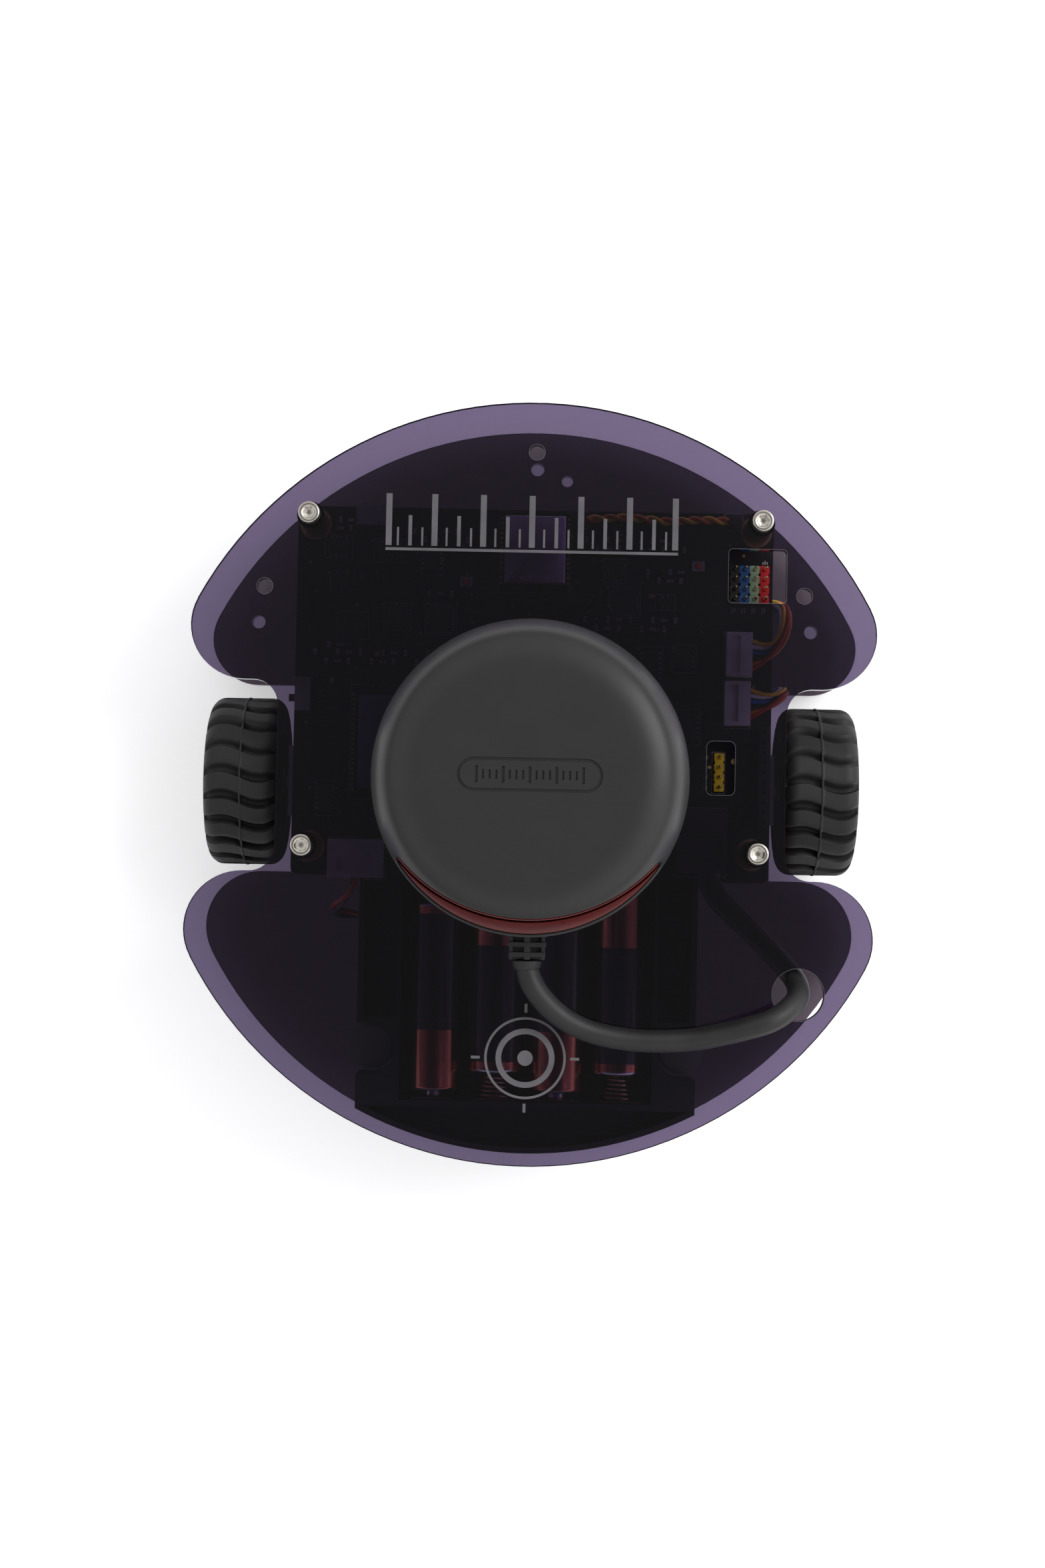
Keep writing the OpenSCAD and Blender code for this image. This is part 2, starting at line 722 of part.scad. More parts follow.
module bracket_screws() color(steel) for (s = [-1, 1]) side(s) {
  for (y = [-bracket_screw_y, bracket_screw_y]) {
    post([bracket_screw_x, y], bottom_z, screw_r, deck_t + 2);
    post([bracket_screw_x, y], deck_top + 2, head_r, 2);
  }
  for (y = [-4.5, 4.5]) {
    x_rod(bracket_x - 2.8, y, axle_z, 0.8, 4.8);
    x_rod(bracket_x + bracket_t, y, axle_z, 1.4, 0.9);
  }
}

// ---------- scanner ----------

module lidar_base() color(black) difference() {
  rotate_extrude($fn = 180) {
    difference() {
      union() {
        translate([0, scan_z]) square([base_r - 1.2, base_top - scan_z]);
        translate([0, scan_z + 1.2]) square([base_r, base_top - scan_z - 1.2]);
        translate([base_r - 1.2, scan_z + 1.2]) circle(r = 1.2);
      }
      translate([-3, scan_z + 3]) square([base_r + 0.6, base_top - scan_z - 5]);
    }
    translate([0, base_top - 2]) square([post_r, 9]);
  }
  for (x = [-lidar_screw_x, lidar_screw_x], y = [-lidar_screw_x, lidar_screw_x])
    post([x, y], scan_z - 1, 1.25, 5);
}

module lidar_screws() color(steel)
  for (x = [-lidar_screw_x, lidar_screw_x], y = [-lidar_screw_x, lidar_screw_x])
    difference() {
      union() {
        post([x, y], top_z, 1.2, deck_t + 4);
        post([x, y], top_z - 1.6, 2.3, 1.6);
      }
      translate([x, y, top_z - 2]) cylinder(r = 1, h = 1.2, $fn = 6);
    }

head_fillet = 8;

module head_section() {
  difference() {
    union() {
      translate([0, head_low]) square([scan_r, head_high - head_fillet - head_low]);
      translate([0, head_low]) square([scan_r - head_fillet, head_high - head_low]);
      translate([scan_r - head_fillet, head_high - head_fillet]) circle(r = head_fillet);
    }
    polygon([
      [-9, head_low - 1], [33, head_low - 1], [33, head_low + 3], [35.3, head_low + 3],
      [35.3, slit_z], [30, head_high - 2.2], [-9, head_high - 2.2]
    ]);
    translate([-9, head_low - 1]) square([9, scan_h]);
  }
}

module capsule(l, w) {
  square([l - w, w], center = true);
  for (s = [-1, 1]) translate([s * (l - w) / 2, 0]) circle(r = w / 2);
}

module slit_region(r, z, h) {
  translate([0, 0, z]) difference() {
    cylinder(r = 60, h = h);
    translate([0, slit_y, -1]) cylinder(r = r, h = h + 2, $fn = 180);
  }
}

module lidar_head() color([0.13, 0.13, 0.14]) difference() {
  rotate_extrude($fn = 180) head_section();
  slit_region(slit_r, slit_z, 20);
  translate([0, 0, head_high - 0.35]) linear_extrude(1) difference() {
    capsule(33.8, 7.8);
    capsule(32.6, 6.6);
  }
  for (k = [-4 : 4]) chip(k * 2.9, 0, head_high - 0.35, [0.6, k % 4 == 0 ? 3.6 : 2, 1]);
}

module lidar_window() color([0.62, 0.14, 0.10, 0.85]) intersection() {
  rotate_extrude($fn = 180) polygon([
    [20, slit_z], [window_r, slit_z], [window_r - 3.1, head_high - 2.4], [20, head_high - 2.4]
  ]);
  slit_region(slit_r, slit_z, 20);
}

module lidar_turntable() color([0.18, 0.18, 0.20]) difference() {
  union() {
    post([0, 0], head_low, 33, 3);
    chip(0, -9, head_low + 3, [44, 8, 9]);
    y_rod(9, -27, head_low + 8.6, 5.4, 15);
    y_rod(-13, -25, head_low + 8, 3.2, 13);
    chip(0, 17, head_low + 3, [38, 16, 1.6]);
  }
  post([0, 0], head_low - 1, post_r + run, 8.5);
  y_rod(9, -28, head_low + 8.6, 4.4, 9);
}

// Slotted above and below, so that it bends with the cable
module lidar_strain_relief() color(black) difference() {
  block([-4.85, -44, scan_z + 4], [9.7, 12, 8]);
  post([0, 0], scan_z, base_r, 30);
  for (x = [-6, 0.8], k = [0 : 2], z = [scan_z + 2, scan_z + 10.4])
    block([x, -39.1 - k * 1.9, z], [5.2, 0.9, 4.4]);
}

module lidar_cable() color([0.10, 0.10, 0.11]) tube(curve(cable_route, 3), cable_d, 12);

// ---------- casters ----------

module caster_cups() color(white) for (c = casters) difference() {
  union() {
    post(c, 2.6, caster_hole_r - 0.1, 7);
    post(c, deck_top, caster_bite_r - 0.3, 1);
    post(c, deck_top, caster_hole_r - 0.4, 1.9);
  }
  translate([c[0], c[1], caster_r]) sphere(r = caster_r + 0.1);
  post(c, 1, 4.1, 3);
}

module caster_ball(at) {
  translate([at[0], at[1], caster_r]) sphere(r = caster_r);
}

module caster_ball_front() color(steel) caster_ball(front_caster);
module caster_ball_left() color(steel) caster_ball(left_caster);
module caster_ball_right() color(steel) caster_ball(right_caster);

bottom_plate();
top_plate();
lower_standoffs();
upper_standoffs();
top_screws();
bottom_screws();
main_board();
core_module();
driver_module();
chips();
passives();
status_leds();
usb_socket();
servo_header_black();
servo_header_blue();
servo_header_green();
servo_header_red();
debug_header();
header_pins();
side_headers();
motor_plugs();
battery_connector();
lidar_socket();
power_switch();
power_switch_slider();
battery_tray();
battery_cell_1();
battery_cell_2();
battery_cell_3();
battery_cell_4();
battery_contacts();
inner_leads();
left_gearbox();
left_motor();
left_encoder_board();
left_encoder_disc();
left_shaft();
left_bracket();
left_rim();
left_tyre();
right_gearbox();
right_motor();
right_encoder_board();
right_encoder_disc();
right_shaft();
right_bracket();
right_rim();
right_tyre();
bracket_screws();
lidar_base();
lidar_screws();
lidar_head();
lidar_window();
lidar_turntable();
lidar_strain_relief();
lidar_cable();
caster_cups();
caster_ball_front();
caster_ball_left();
caster_ball_right();
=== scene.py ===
"""Looks of the round two-wheeled mapping robot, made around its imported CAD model.

Blender's units are metres, in the CAD frame: origin on the floor, +Y front, +X right, +Z up.
The build functions draw in millimetres, and mesh_piece() scales what they draw.
"""

import json
import math
import random

import bmesh
import bpy
from mathutils import Matrix, Vector


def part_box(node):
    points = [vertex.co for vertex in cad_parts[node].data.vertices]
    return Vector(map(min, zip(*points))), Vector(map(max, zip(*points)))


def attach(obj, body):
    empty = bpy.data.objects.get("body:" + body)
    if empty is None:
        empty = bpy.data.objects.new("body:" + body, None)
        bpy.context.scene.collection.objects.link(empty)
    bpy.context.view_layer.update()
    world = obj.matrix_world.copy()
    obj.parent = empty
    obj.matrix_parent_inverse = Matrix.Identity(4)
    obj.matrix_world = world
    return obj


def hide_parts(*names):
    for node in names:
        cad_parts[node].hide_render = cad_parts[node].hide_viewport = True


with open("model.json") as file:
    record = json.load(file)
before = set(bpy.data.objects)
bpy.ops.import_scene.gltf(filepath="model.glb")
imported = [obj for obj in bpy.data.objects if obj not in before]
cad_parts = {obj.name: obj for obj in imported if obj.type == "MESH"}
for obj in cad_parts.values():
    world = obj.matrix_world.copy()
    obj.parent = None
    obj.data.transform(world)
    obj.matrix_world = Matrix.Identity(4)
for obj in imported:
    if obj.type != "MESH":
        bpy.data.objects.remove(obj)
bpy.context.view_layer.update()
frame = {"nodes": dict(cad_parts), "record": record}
NODES = frame["nodes"]
MM = 0.001
SIDES = (-1, 1)
CORNERS = [(x, y) for x in SIDES for y in SIDES]


def mm(*values):
    """A point given in millimetres."""
    return Vector([v * MM for v in values])


def box_mm(node):
    """Lowest and highest corner of a CAD node, in millimetres."""
    low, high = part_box(node)
    return low / MM, high / MM


DECK_LOW, DECK_TOP = (corner.z for corner in box_mm("top_plate"))
BOTTOM_LOW = box_mm("bottom_plate")[0].z
BOARD_LOW, BOARD_TOP = (corner.z for corner in box_mm("main_board"))
HEAD_LOW, HEAD_HIGH = (corner.z for corner in box_mm("lidar_head"))
HEAD_R = box_mm("lidar_head")[1].x


# ---------- camera, lights and floor ----------

EYE = (3.0, -24.6, DECK_TOP + 588)
AIM = (-2.0, -0.5, DECK_TOP)
ROLL = 1.17                 # degrees
SENSOR_TALL = 36.0
LENS = 54.4


def link(name, data):
    thing = bpy.data.objects.new(name, data)
    bpy.context.scene.collection.objects.link(thing)
    return thing


def make_camera():
    eye, aim, roll = mm(*EYE), mm(*AIM), math.radians(ROLL)
    up = Vector((-math.sin(roll), math.cos(roll), 0))
    back = (eye - aim).normalized()
    right = up.cross(back).normalized()
    data = bpy.data.cameras.new("camera")
    data.sensor_fit = "VERTICAL"
    data.sensor_height = SENSOR_TALL
    data.lens = LENS
    camera = link("camera", data)
    turn = Matrix((right, back.cross(right), back)).transposed().to_4x4()
    camera.matrix_world = Matrix.Translation(eye) @ turn
    bpy.context.scene.camera = camera


def make_key_light():
    """A soft light at the right, a little to the front."""
    data = bpy.data.lights.new("key", "AREA")
    data.shape = "RECTANGLE"
    data.size = data.size_y = 0.6
    data.energy = 6
    light = link("key", data)
    light.location = (0.85, 0.4, 0.95)
    light.rotation_euler = (-light.location).to_track_quat("-Z", "Y").to_euler()


# ---------- shader nodes ----------

def add_node(tree, kind, inputs):
    """A node whose inputs are linked to output sockets or set to plain values."""
    node = tree.nodes.new(f"ShaderNode{kind}")
    for socket, value in inputs.items():
        if isinstance(value, bpy.types.NodeSocket):
            tree.links.new(value, node.inputs[socket])
        else:
            node.inputs[socket].default_value = value
    return node


def add_axes(tree, coordinates):
    """The X, Y and Z outputs of a set of texture coordinates."""
    where = add_node(tree, "TexCoord", {})
    return add_node(tree, "SeparateXYZ", {0: where.outputs[coordinates]}).outputs


def add_ramp(tree, level, stops, interpolation="LINEAR"):
    """The colour at a level, from a list of (level, colour)."""
    node = add_node(tree, "ValToRGB", {"Fac": level})
    ramp = node.color_ramp
    ramp.interpolation = interpolation
    ramp.elements[1].position = stops[-1][0]
    for place, _ in stops[1:-1]:
        ramp.elements.new(place)
    for element, (place, _) in zip(ramp.elements, stops):
        element.position = place
    for element, (_, colour) in zip(ramp.elements, stops):
        element.color = (*colour, 1)
    return node.outputs["Color"]


def add_sum(tree, value, factor, added):
    """The output value * factor + added."""
    node = tree.nodes.new("ShaderNodeMath")
    node.operation = "MULTIPLY_ADD"
    for place, source in enumerate((value, factor, added)):
        if isinstance(source, bpy.types.NodeSocket):
            tree.links.new(source, node.inputs[place])
        else:
            node.inputs[place].default_value = source
    return node.outputs[0]


# ---------- world and floor ----------

# Brightness of the studio by the sine of the elevation: dim overhead, so the deck stays dark
SKY = [(0.0, 0.4), (0.25, 0.5), (0.5, 1.1), (0.84, 0.95), (0.95, 0.24), (1.0, 0.12)]
SKY_LEVEL = 1.15
SKY_LEAN = 0.4              # how much brighter the right is than the left
SKY_DIP = -0.5              # how much dimmer the front and the rear are than the sides


def make_world():
    world = bpy.data.worlds.new("studio")
    bpy.context.scene.world = world
    world.use_nodes = True
    tree = world.node_tree
    background = tree.nodes["Background"]
    axes = add_axes(tree, "Generated")
    greys = [(place, (level, level, level * 1.01)) for place, level in SKY]
    tree.links.new(add_ramp(tree, axes["Z"], greys), background.inputs["Color"])
    lean = add_sum(tree, axes["X"], SKY_LEAN, SKY_LEVEL)
    square = add_sum(tree, axes["Y"], axes["Y"], 0.0)
    tree.links.new(add_sum(tree, square, SKY_DIP, lean), background.inputs["Strength"])


FLOOR_HALF = 3.0            # metres


def make_floor():
    size = FLOOR_HALF
    floor_mesh = bpy.data.meshes.new("floor")
    corners = [(-size, -size, 0), (size, -size, 0), (size, size, 0), (-size, size, 0)]
    floor_mesh.from_pydata(corners, [], [(0, 1, 2, 3)])
    floor = link("floor", floor_mesh)
    paint = bpy.data.materials.new("floor")
    paint.use_nodes = True
    shader = paint.node_tree.nodes["Principled BSDF"]
    shader.inputs["Base Color"].default_value = (0.92, 0.92, 0.93, 1)
    shader.inputs["Roughness"].default_value = 0.85
    shader.inputs["Specular IOR Level"].default_value = 0.1
    shader.inputs["Emission Color"].default_value = (1, 1, 1, 1)
    shader.inputs["Emission Strength"].default_value = 0.42
    floor_mesh.materials.append(paint)


# ---------- materials ----------

def plain_material(name, colour, rough=0.5, metal=0.0, **sockets):
    paint = bpy.data.materials.new(name)
    paint.use_nodes = True
    shader = paint.node_tree.nodes["Principled BSDF"]
    shader.inputs["Base Color"].default_value = (*colour, 1)
    shader.inputs["Roughness"].default_value = rough
    shader.inputs["Metallic"].default_value = metal
    for socket, value in sockets.items():
        shader.inputs[socket.replace("_", " ")].default_value = value
    return paint


def feed(paint, socket, source):
    tree = paint.node_tree
    tree.links.new(source, tree.nodes["Principled BSDF"].inputs[socket])


def add_noise(paint, scale, stretch=(1, 1, 1)):
    """A noise over the surface, at scale lumps a metre."""
    tree = paint.node_tree
    where = add_node(tree, "TexCoord", {})
    place = add_node(tree, "Mapping", {"Vector": where.outputs["Object"], "Scale": stretch})
    noise = add_node(tree, "TexNoise", {"Vector": place.outputs["Vector"], "Scale": scale,
                                        "Detail": 4.0})
    return noise.outputs["Fac"]


def vary_colour(paint, low, high, scale, stretch=(1, 1, 1)):
    noise = add_noise(paint, scale, stretch)
    feed(paint, "Base Color", add_ramp(paint.node_tree, noise, [(0.3, low), (0.7, high)]))


def vary_roughness(paint, low, high, scale, stretch=(1, 1, 1)):
    spread = add_node(paint.node_tree, "MapRange", {
        "Value": add_noise(paint, scale, stretch), "To Min": low, "To Max": high})
    feed(paint, "Roughness", spread.outputs["Result"])


def add_bump(paint, scale, depth, stretch=(1, 1, 1)):
    """Bumps of depth metres."""
    bump = add_node(paint.node_tree, "Bump", {
        "Height": add_noise(paint, scale, stretch), "Strength": 1.0, "Distance": depth})
    feed(paint, "Normal", bump.outputs["Normal"])


def moulded(name, colour, rough=0.45, grain=3500, depth=0.00001, spread=0.14, **sockets):
    """Moulded plastic: a fine grain and a slightly uneven gloss."""
    paint = plain_material(name, colour, rough, **sockets)
    vary_colour(paint, [c * (1 - spread) for c in colour], [c * (1 + spread) for c in colour],
                160)
    vary_roughness(paint, max(rough - spread / 2, 0), rough + spread / 2, 420)
    add_bump(paint, grain, depth)
    return paint


def metal(name, colour, rough=0.25, brush=(1, 1, 1), grain=1500, depth=0.000004, **sockets):
    """Bare or plated metal, with brushing along the axis whose scale is small."""
    paint = plain_material(name, colour, rough, sockets.pop("metal", 1.0), **sockets)
    vary_colour(paint, [c * 0.88 for c in colour], colour, 300, brush)
    vary_roughness(paint, rough * 0.7, rough * 1.35, 700, brush)
    add_bump(paint, grain, depth, brush)
    return paint


def acrylic(name, tint):
    """Smoke acrylic that tints at each face, with faint unevenness from the casting."""
    paint = plain_material(name, tint, 0.012, Transmission_Weight=1.0, IOR=1.49)
    vary_roughness(paint, 0.0, 0.024, 60)
    return paint


CELL_STOPS = [          # share of a cell's length from its flat end, colour, metallic
    (0.0, (0.60, 0.60, 0.62), 1.0), (0.022, (0.84, 0.26, 0.15), 1.0), (0.06, (0.03, 0.026,
     0.03), 0.0),
    (0.60, (0.12, 0.03, 0.025), 0.0), (0.612, (0.030, 0.026, 0.030), 0.0),
    (0.655, (0.84, 0.26, 0.15), 1.0), (0.95, (0.10, 0.08, 0.08), 0.0),
    (0.968, (0.66, 0.66, 0.68), 1.0),
]


def cell_material(name, flat_end, nub_end):
    """A dark printed sleeve with a copper band at the nub end, between two places along Y."""
    paint = plain_material(name, (0.03, 0.03, 0.03), 0.2, Coat_Weight=0.5, Coat_Roughness=0.08)
    tree = paint.node_tree
    share = add_node(tree, "MapRange", {
        "Value": add_axes(tree, "Object")["Y"], "From Min": flat_end, "From Max": nub_end})
    share = share.outputs["Result"]
    colours = [(place, colour) for place, colour, _ in CELL_STOPS]
    metals = [(place, (metallic,) * 3) for place, _, metallic in CELL_STOPS]
    feed(paint, "Base Color", add_ramp(tree, share, colours, "CONSTANT"))
    feed(paint, "Metallic", add_ramp(tree, share, metals, "CONSTANT"))
    vary_roughness(paint, 0.14, 0.3, 400)
    add_bump(paint, 900, 0.00001)
    return paint


MATERIALS = {
    "acrylic": acrylic("smoke_acrylic", (0.16, 0.125, 0.215)),
    "column": metal("column", (0.50, 0.22, 0.15), 0.3, (1, 1, 9)),
    "screw": metal("screw", (0.60, 0.56, 0.50), 0.24),
    "board": moulded("solder_mask", (0.0065, 0.0065, 0.008), 0.3),
    "shield": metal("shield", (0.62, 0.56, 0.62), 0.32),
    "module": moulded("module", (0.13, 0.12, 0.22), 0.35),
    "package": moulded("package", (0.018, 0.018, 0.019), 0.5),
    "small_part": moulded("small_part", (0.30, 0.25, 0.22), 0.4),
    "led": moulded("led", (0.70, 0.04, 0.03), 0.3),
    "socket_metal": metal("socket_metal", (0.62, 0.61, 0.62), 0.3),
    "header_black": moulded("header_black", (0.012, 0.012, 0.013), 0.42),
    "header_blue": moulded("header_blue", (0.012, 0.10, 0.36), 0.42),
    "header_green": moulded("header_green", (0.30, 0.46, 0.32), 0.42),
    "header_red": moulded("header_red", (0.58, 0.012, 0.02), 0.42),
    "header_yellow": moulded("header_yellow", (0.74, 0.50, 0.012), 0.42),
    "pin": metal("pin", (0.90, 0.74, 0.42), 0.2),
    "plug_white": moulded("plug_white", (0.78, 0.74, 0.70), 0.5),
    "socket_dark": moulded("socket_dark", (0.06, 0.045, 0.055), 0.45),
    "slider": moulded("slider", (0.015, 0.015, 0.015), 0.5),
    "tray": moulded("tray", (0.012, 0.012, 0.013), 0.5, 2500, 0.00002),
    "contact": metal("contact", (0.80, 0.44, 0.30), 0.22),
    "lead": moulded("lead", (0.55, 0.18, 0.03), 0.4),
    "gearbox": metal("gearbox", (0.72, 0.54, 0.26), 0.3, (9, 1, 1)),
    "motor": metal("motor", (0.62, 0.62, 0.64), 0.24, (1, 6, 6)),
    "encoder_board": moulded("encoder_board", (0.01, 0.07, 0.035), 0.3),
    "magnet": metal("magnet", (0.09, 0.09, 0.10), 0.4),
    "shaft": metal("shaft", (0.66, 0.66, 0.68), 0.2, (8, 1, 1)),
    "bracket": metal("bracket", (0.66, 0.66, 0.68), 0.34, (1, 12, 1)),
    "rim": moulded("rim", (0.02, 0.02, 0.021), 0.42),
    "tyre": moulded("tyre", (0.0075, 0.0075, 0.0073), 0.6, 2200, 0.00002),
    "scanner_body": moulded("scanner_body", (0.012, 0.012, 0.013), 0.4, 6000, 0.000012),
    "scanner_head": moulded("scanner_head", (0.032, 0.032, 0.033), 0.33, 7000, 0.00001, 0.03,
                            Specular_IOR_Level=0.25),
    "window": moulded("window", (0.10, 0.012, 0.009), 0.3, Specular_IOR_Level=0.25),
    "turntable": moulded("turntable", (0.02, 0.02, 0.022), 0.5),
    "cable": moulded("cable", (0.015, 0.015, 0.0155), 0.52, 5000, 0.00001),
    "cup": moulded("cup", (0.10, 0.09, 0.095), 0.5),
    "ball": metal("ball", (0.80, 0.80, 0.80), 0.08),
}

EXTRA = {               # finishes of small details that share a record slot
    # the bottom plate's tint, darker than the top deck's: painted shade for the floor shaded under
    # both decks
    "lower_acrylic_painted_shade": acrylic("lower_acrylic_painted_shade", (0.10, 0.077, 0.10)),
    "solder": metal("solder", (0.74, 0.73, 0.72), 0.3),
    "gold_pad": metal("gold_pad", (0.84, 0.62, 0.30), 0.3),
    "trace": moulded("trace", (0.020, 0.020, 0.026), 0.26),
    "board_print": moulded("board_print", (0.34, 0.34, 0.33), 0.6),
    "etched": moulded("etched", (0.125, 0.12, 0.13), 0.85, 4200, 0.00008),
    # pale strips along the cut edges: a painted highlight
    "edge_highlight_paint": moulded("edge_highlight_paint", (0.11, 0.10, 0.12), 0.5),
}
WIRES = {
    "red": (0.42, 0.010, 0.010), "black": (0.012, 0.012, 0.013), "white": (0.72, 0.70, 0.74),
    "orange": (0.62, 0.15, 0.02), "yellow": (0.80, 0.46, 0.03), "blue": (0.02, 0.12, 0.42),
}
for shade, tint in WIRES.items():
    EXTRA[shade] = moulded(f"wire_{shade}", tint, 0.38)


# ---------- mesh and curve helpers ----------

ALONG_X = Matrix.Rotation(math.pi / 2, 4, "Y")
ALONG_Y = Matrix.Rotation(-math.pi / 2, 4, "X")


def at(*place):
    return Matrix.Translation(Vector(place))


def mesh_piece(name, body, paint, build, smooth=32, bevel=None):
    """A mesh piece drawn in millimetres by build(bm); edges sharper than smooth stay sharp."""
    bm = bmesh.new()
    build(bm)
    bmesh.ops.recalc_face_normals(bm, faces=bm.faces)
    bmesh.ops.scale(bm, vec=(MM, MM, MM), verts=bm.verts)
    data = bpy.data.meshes.new(name)
    bm.to_mesh(data)
    bm.free()
    data.polygons.foreach_set("use_smooth", [True] * len(data.polygons))
    data.set_sharp_from_angle(angle=math.radians(smooth))
    piece = link(name, data)
    data.materials.append(paint)
    if bevel:
        rounding = piece.modifiers.new("rounding", "BEVEL")
        rounding.width = bevel * MM
        rounding.segments = 2
        rounding.limit_method = "ANGLE"
        rounding.angle_limit = math.radians(40)
    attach(piece, body)
    return piece


def join_rings(bm, low, high):
    """Faces between two closed rings of vertices; a ring of one vertex is a tip."""
    count = max(len(low), len(high))
    for i in range(count):
        j = (i + 1) % count
        if len(low) == 1:
            bm.faces.new((low[0], high[j], high[i]))
        elif len(high) == 1:
            bm.faces.new((low[i], low[j], high[0]))
        else:
            bm.faces.new((low[i], low[j], high[j], high[i]))


def lathe(bm, profile, steps=48, place=Matrix(), closed=False):
    """A turned solid: profile holds (radius, height) about the local Z axis."""
    rings = []
    for radius, height in profile:
        angles = [2 * math.pi * k / steps for k in range(steps)] if radius > 1e-6 else [0]
        points = [Vector((radius * math.cos(a), radius * math.sin(a), height)) for a in angles]
        rings.append([bm.verts.new(place @ p) for p in points])
    pairs = list(zip(rings, rings[1:]))
    if closed:
        pairs.append((rings[-1], rings[0]))
    for low, high in pairs:
        join_rings(bm, low, high)


def block(bm, low, high, place=Matrix()):
    """A box between two corners."""
    middle = (Vector(low) + Vector(high)) / 2
    size = Vector(high) - Vector(low)
    bmesh.ops.create_cube(bm, size=1, matrix=place @ at(*middle) @ Matrix.Diagonal((*size, 1)))


def prism(bm, outline, z_low, z_high, place=Matrix()):
    """A flat outline raised between two heights."""
    low = [bm.verts.new(place @ Vector((x, y, z_low))) for x, y in outline]
    high = [bm.verts.new(place @ Vector((x, y, z_high))) for x, y in outline]
    join_rings(bm, low, high)
    bm.faces.new(low[::-1])
    bm.faces.new(high)


def ring_strip(bm, inner, outer, z_low, z_high):
    """A closed band between two outlines with the same number of points."""
    rings = [[bm.verts.new((x, y, z)) for x, y in outline]
             for outline, z in ((inner, z_low), (inner, z_high), (outer, z_high), (outer, z_low))]
    for low, high in zip(rings, rings[1:] + rings[:1]):
        join_rings(bm, low, high)


def arc_points(cx, cy, radius, start, end, steps):
    """Points along an arc, angles in degrees."""
    angles = [math.radians(start + (end - start) * k / steps) for k in range(steps + 1)]
    return [(cx + radius * math.cos(a), cy + radius * math.sin(a)) for a in angles]


def rounded_outline(low, high, radius, steps=6):
    """A rounded rectangle between two corners, anticlockwise."""
    corners = [(high[0] - radius, low[1] + radius, -90), (high[0] - radius, high[1] - radius, 0),
               (low[0] + radius, high[1] - radius, 90), (low[0] + radius, low[1] + radius, 180)]
    points = []
    for cx, cy, start in corners:
        points += arc_points(cx, cy, radius, start, start + 90, steps)
    return points


def solids_of(node):
    """Lowest and highest corner, in millimetres, of each separate solid in a CAD node."""
    bm = bmesh.new()
    bm.from_mesh(NODES[node].data)
    bmesh.ops.remove_doubles(bm, verts=bm.verts, dist=1e-6)
    boxes, seen = [], set()
    for start in bm.verts:
        if start in seen:
            continue
        seen.add(start)
        waiting, points = [start], []
        while waiting:
            vert = waiting.pop()
            points.append(vert.co / MM)
            for edge in vert.link_edges:
                other = edge.other_vert(vert)
                if other not in seen:
                    seen.add(other)
                    waiting.append(other)
        boxes.append((Vector(map(min, zip(*points))), Vector(map(max, zip(*points)))))
    bm.free()
    return sorted(boxes, key=lambda box: (round(box[0].x, 2), round(box[0].y, 2)))


def smooth_path(points, steps):
    """The curve that the CAD model sweeps its tubes along."""
    p = [Vector(q) for q in points]
    path = []
    for i in range(len(p) - 1):
        a, b, c, d = p[max(i - 1, 0)], p[i], p[i + 1], p[min(i + 2, len(p) - 1)]
        for k in range(steps):
            t = k / steps
            path.append(0.5 * (2 * b + (c - a) * t + (2 * a - 5 * b + 4 * c - d) * t * t
                               + (3 * b - a - 3 * c + d) * t ** 3))
    path.append(p[-1])
    return path


def path_length(path):
    return sum((b - a).length for a, b in zip(path, path[1:]))


def wire(name, path, diameter, paint, body="chassis", resolution=4):
    """A round wire along a path in millimetres."""
    data = bpy.data.curves.new(name, "CURVE")
    data.dimensions = "3D"
    data.bevel_depth = diameter / 2 * MM
    data.bevel_resolution = resolution
    data.use_fill_caps = True
    spline = data.splines.new("POLY")
    spline.points.add(len(path) - 1)
    for point, place in zip(spline.points, path):
        point.co = (*(place * MM), 1)
    spline.use_smooth = True
    piece = link(name, data)
    data.materials.append(paint)
    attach(piece, body)
    return piece


# ---------- cords: the scanner's cable, a repeat of the CAD route ----------

CABLE_ROUTE = [
    (0, -44, 58), (0.6, -48, 57.8), (3, -52.2, 57), (7.2, -56.5, 55.7), (12.6, -59.9, 54.4),
    (19, -62, 53.5), (26.5, -63.1, 53), (34, -63.2, 53), (41.5, -62.6, 53.2),
    (48.3, -61.1, 54.8), (54.6, -59.3, 57), (59.8, -57.5, 57.6), (64, -54.9, 55.7),
    (66.9, -51.9, 51.8), (67.2, -48.9, 47.3), (65.2, -45.6, 44), (61.6, -41.6, 41.8),
    (57, -36.9, 40.1), (52.2, -32.4, 39), (48.2, -28.4, 38), (46, -25, 37.3), (45.4, -22.2, 37),
]
CABLE_D = 5.6


def scanner_cable():
    cable = wire("scanner_cable", smooth_path(CABLE_ROUTE, 5), CABLE_D, MATERIALS["cable"],
                 resolution=8)
    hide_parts("lidar_cable")


# ---------- scanner ----------

SLOT_R = 40                 # the cap's rear edge is an arc that isn't centred on the axis
SLOT_Y = 6.8
SLOT_REACH = 35.9           # the slot ends where that arc comes this far out
LIP = 0.4                   # red lip along the cap's edge
GAP = 0.95                  # from the cap's edge to the window
WINDOW_R = 37.0
SLOT_FLOOR = HEAD_HIGH - 14.4
RIM_Z = HEAD_HIGH - 13.2    # top of the rim outside the slot
SKIRT_Z = HEAD_HIGH - 14.2  # where the dome meets the side wall
HEAD_STEPS = 360

# Radius and depth below the top, from the flat crown down to the side wall
CROWN = [(25, 0), (26.6, 0.06), (28.1, 0.24), (29.5, 0.53), (30.8, 0.92), (32, 1.42),
         (33, 1.98), (33.8, 2.65), (34.5, 3.45), (35.1, 4.4), (35.7, 5.55), (36.3, 7.0),
         (36.9, 8.8), (37.4, 11.0), (37.7, 12.8), (HEAD_R, 14.2)]


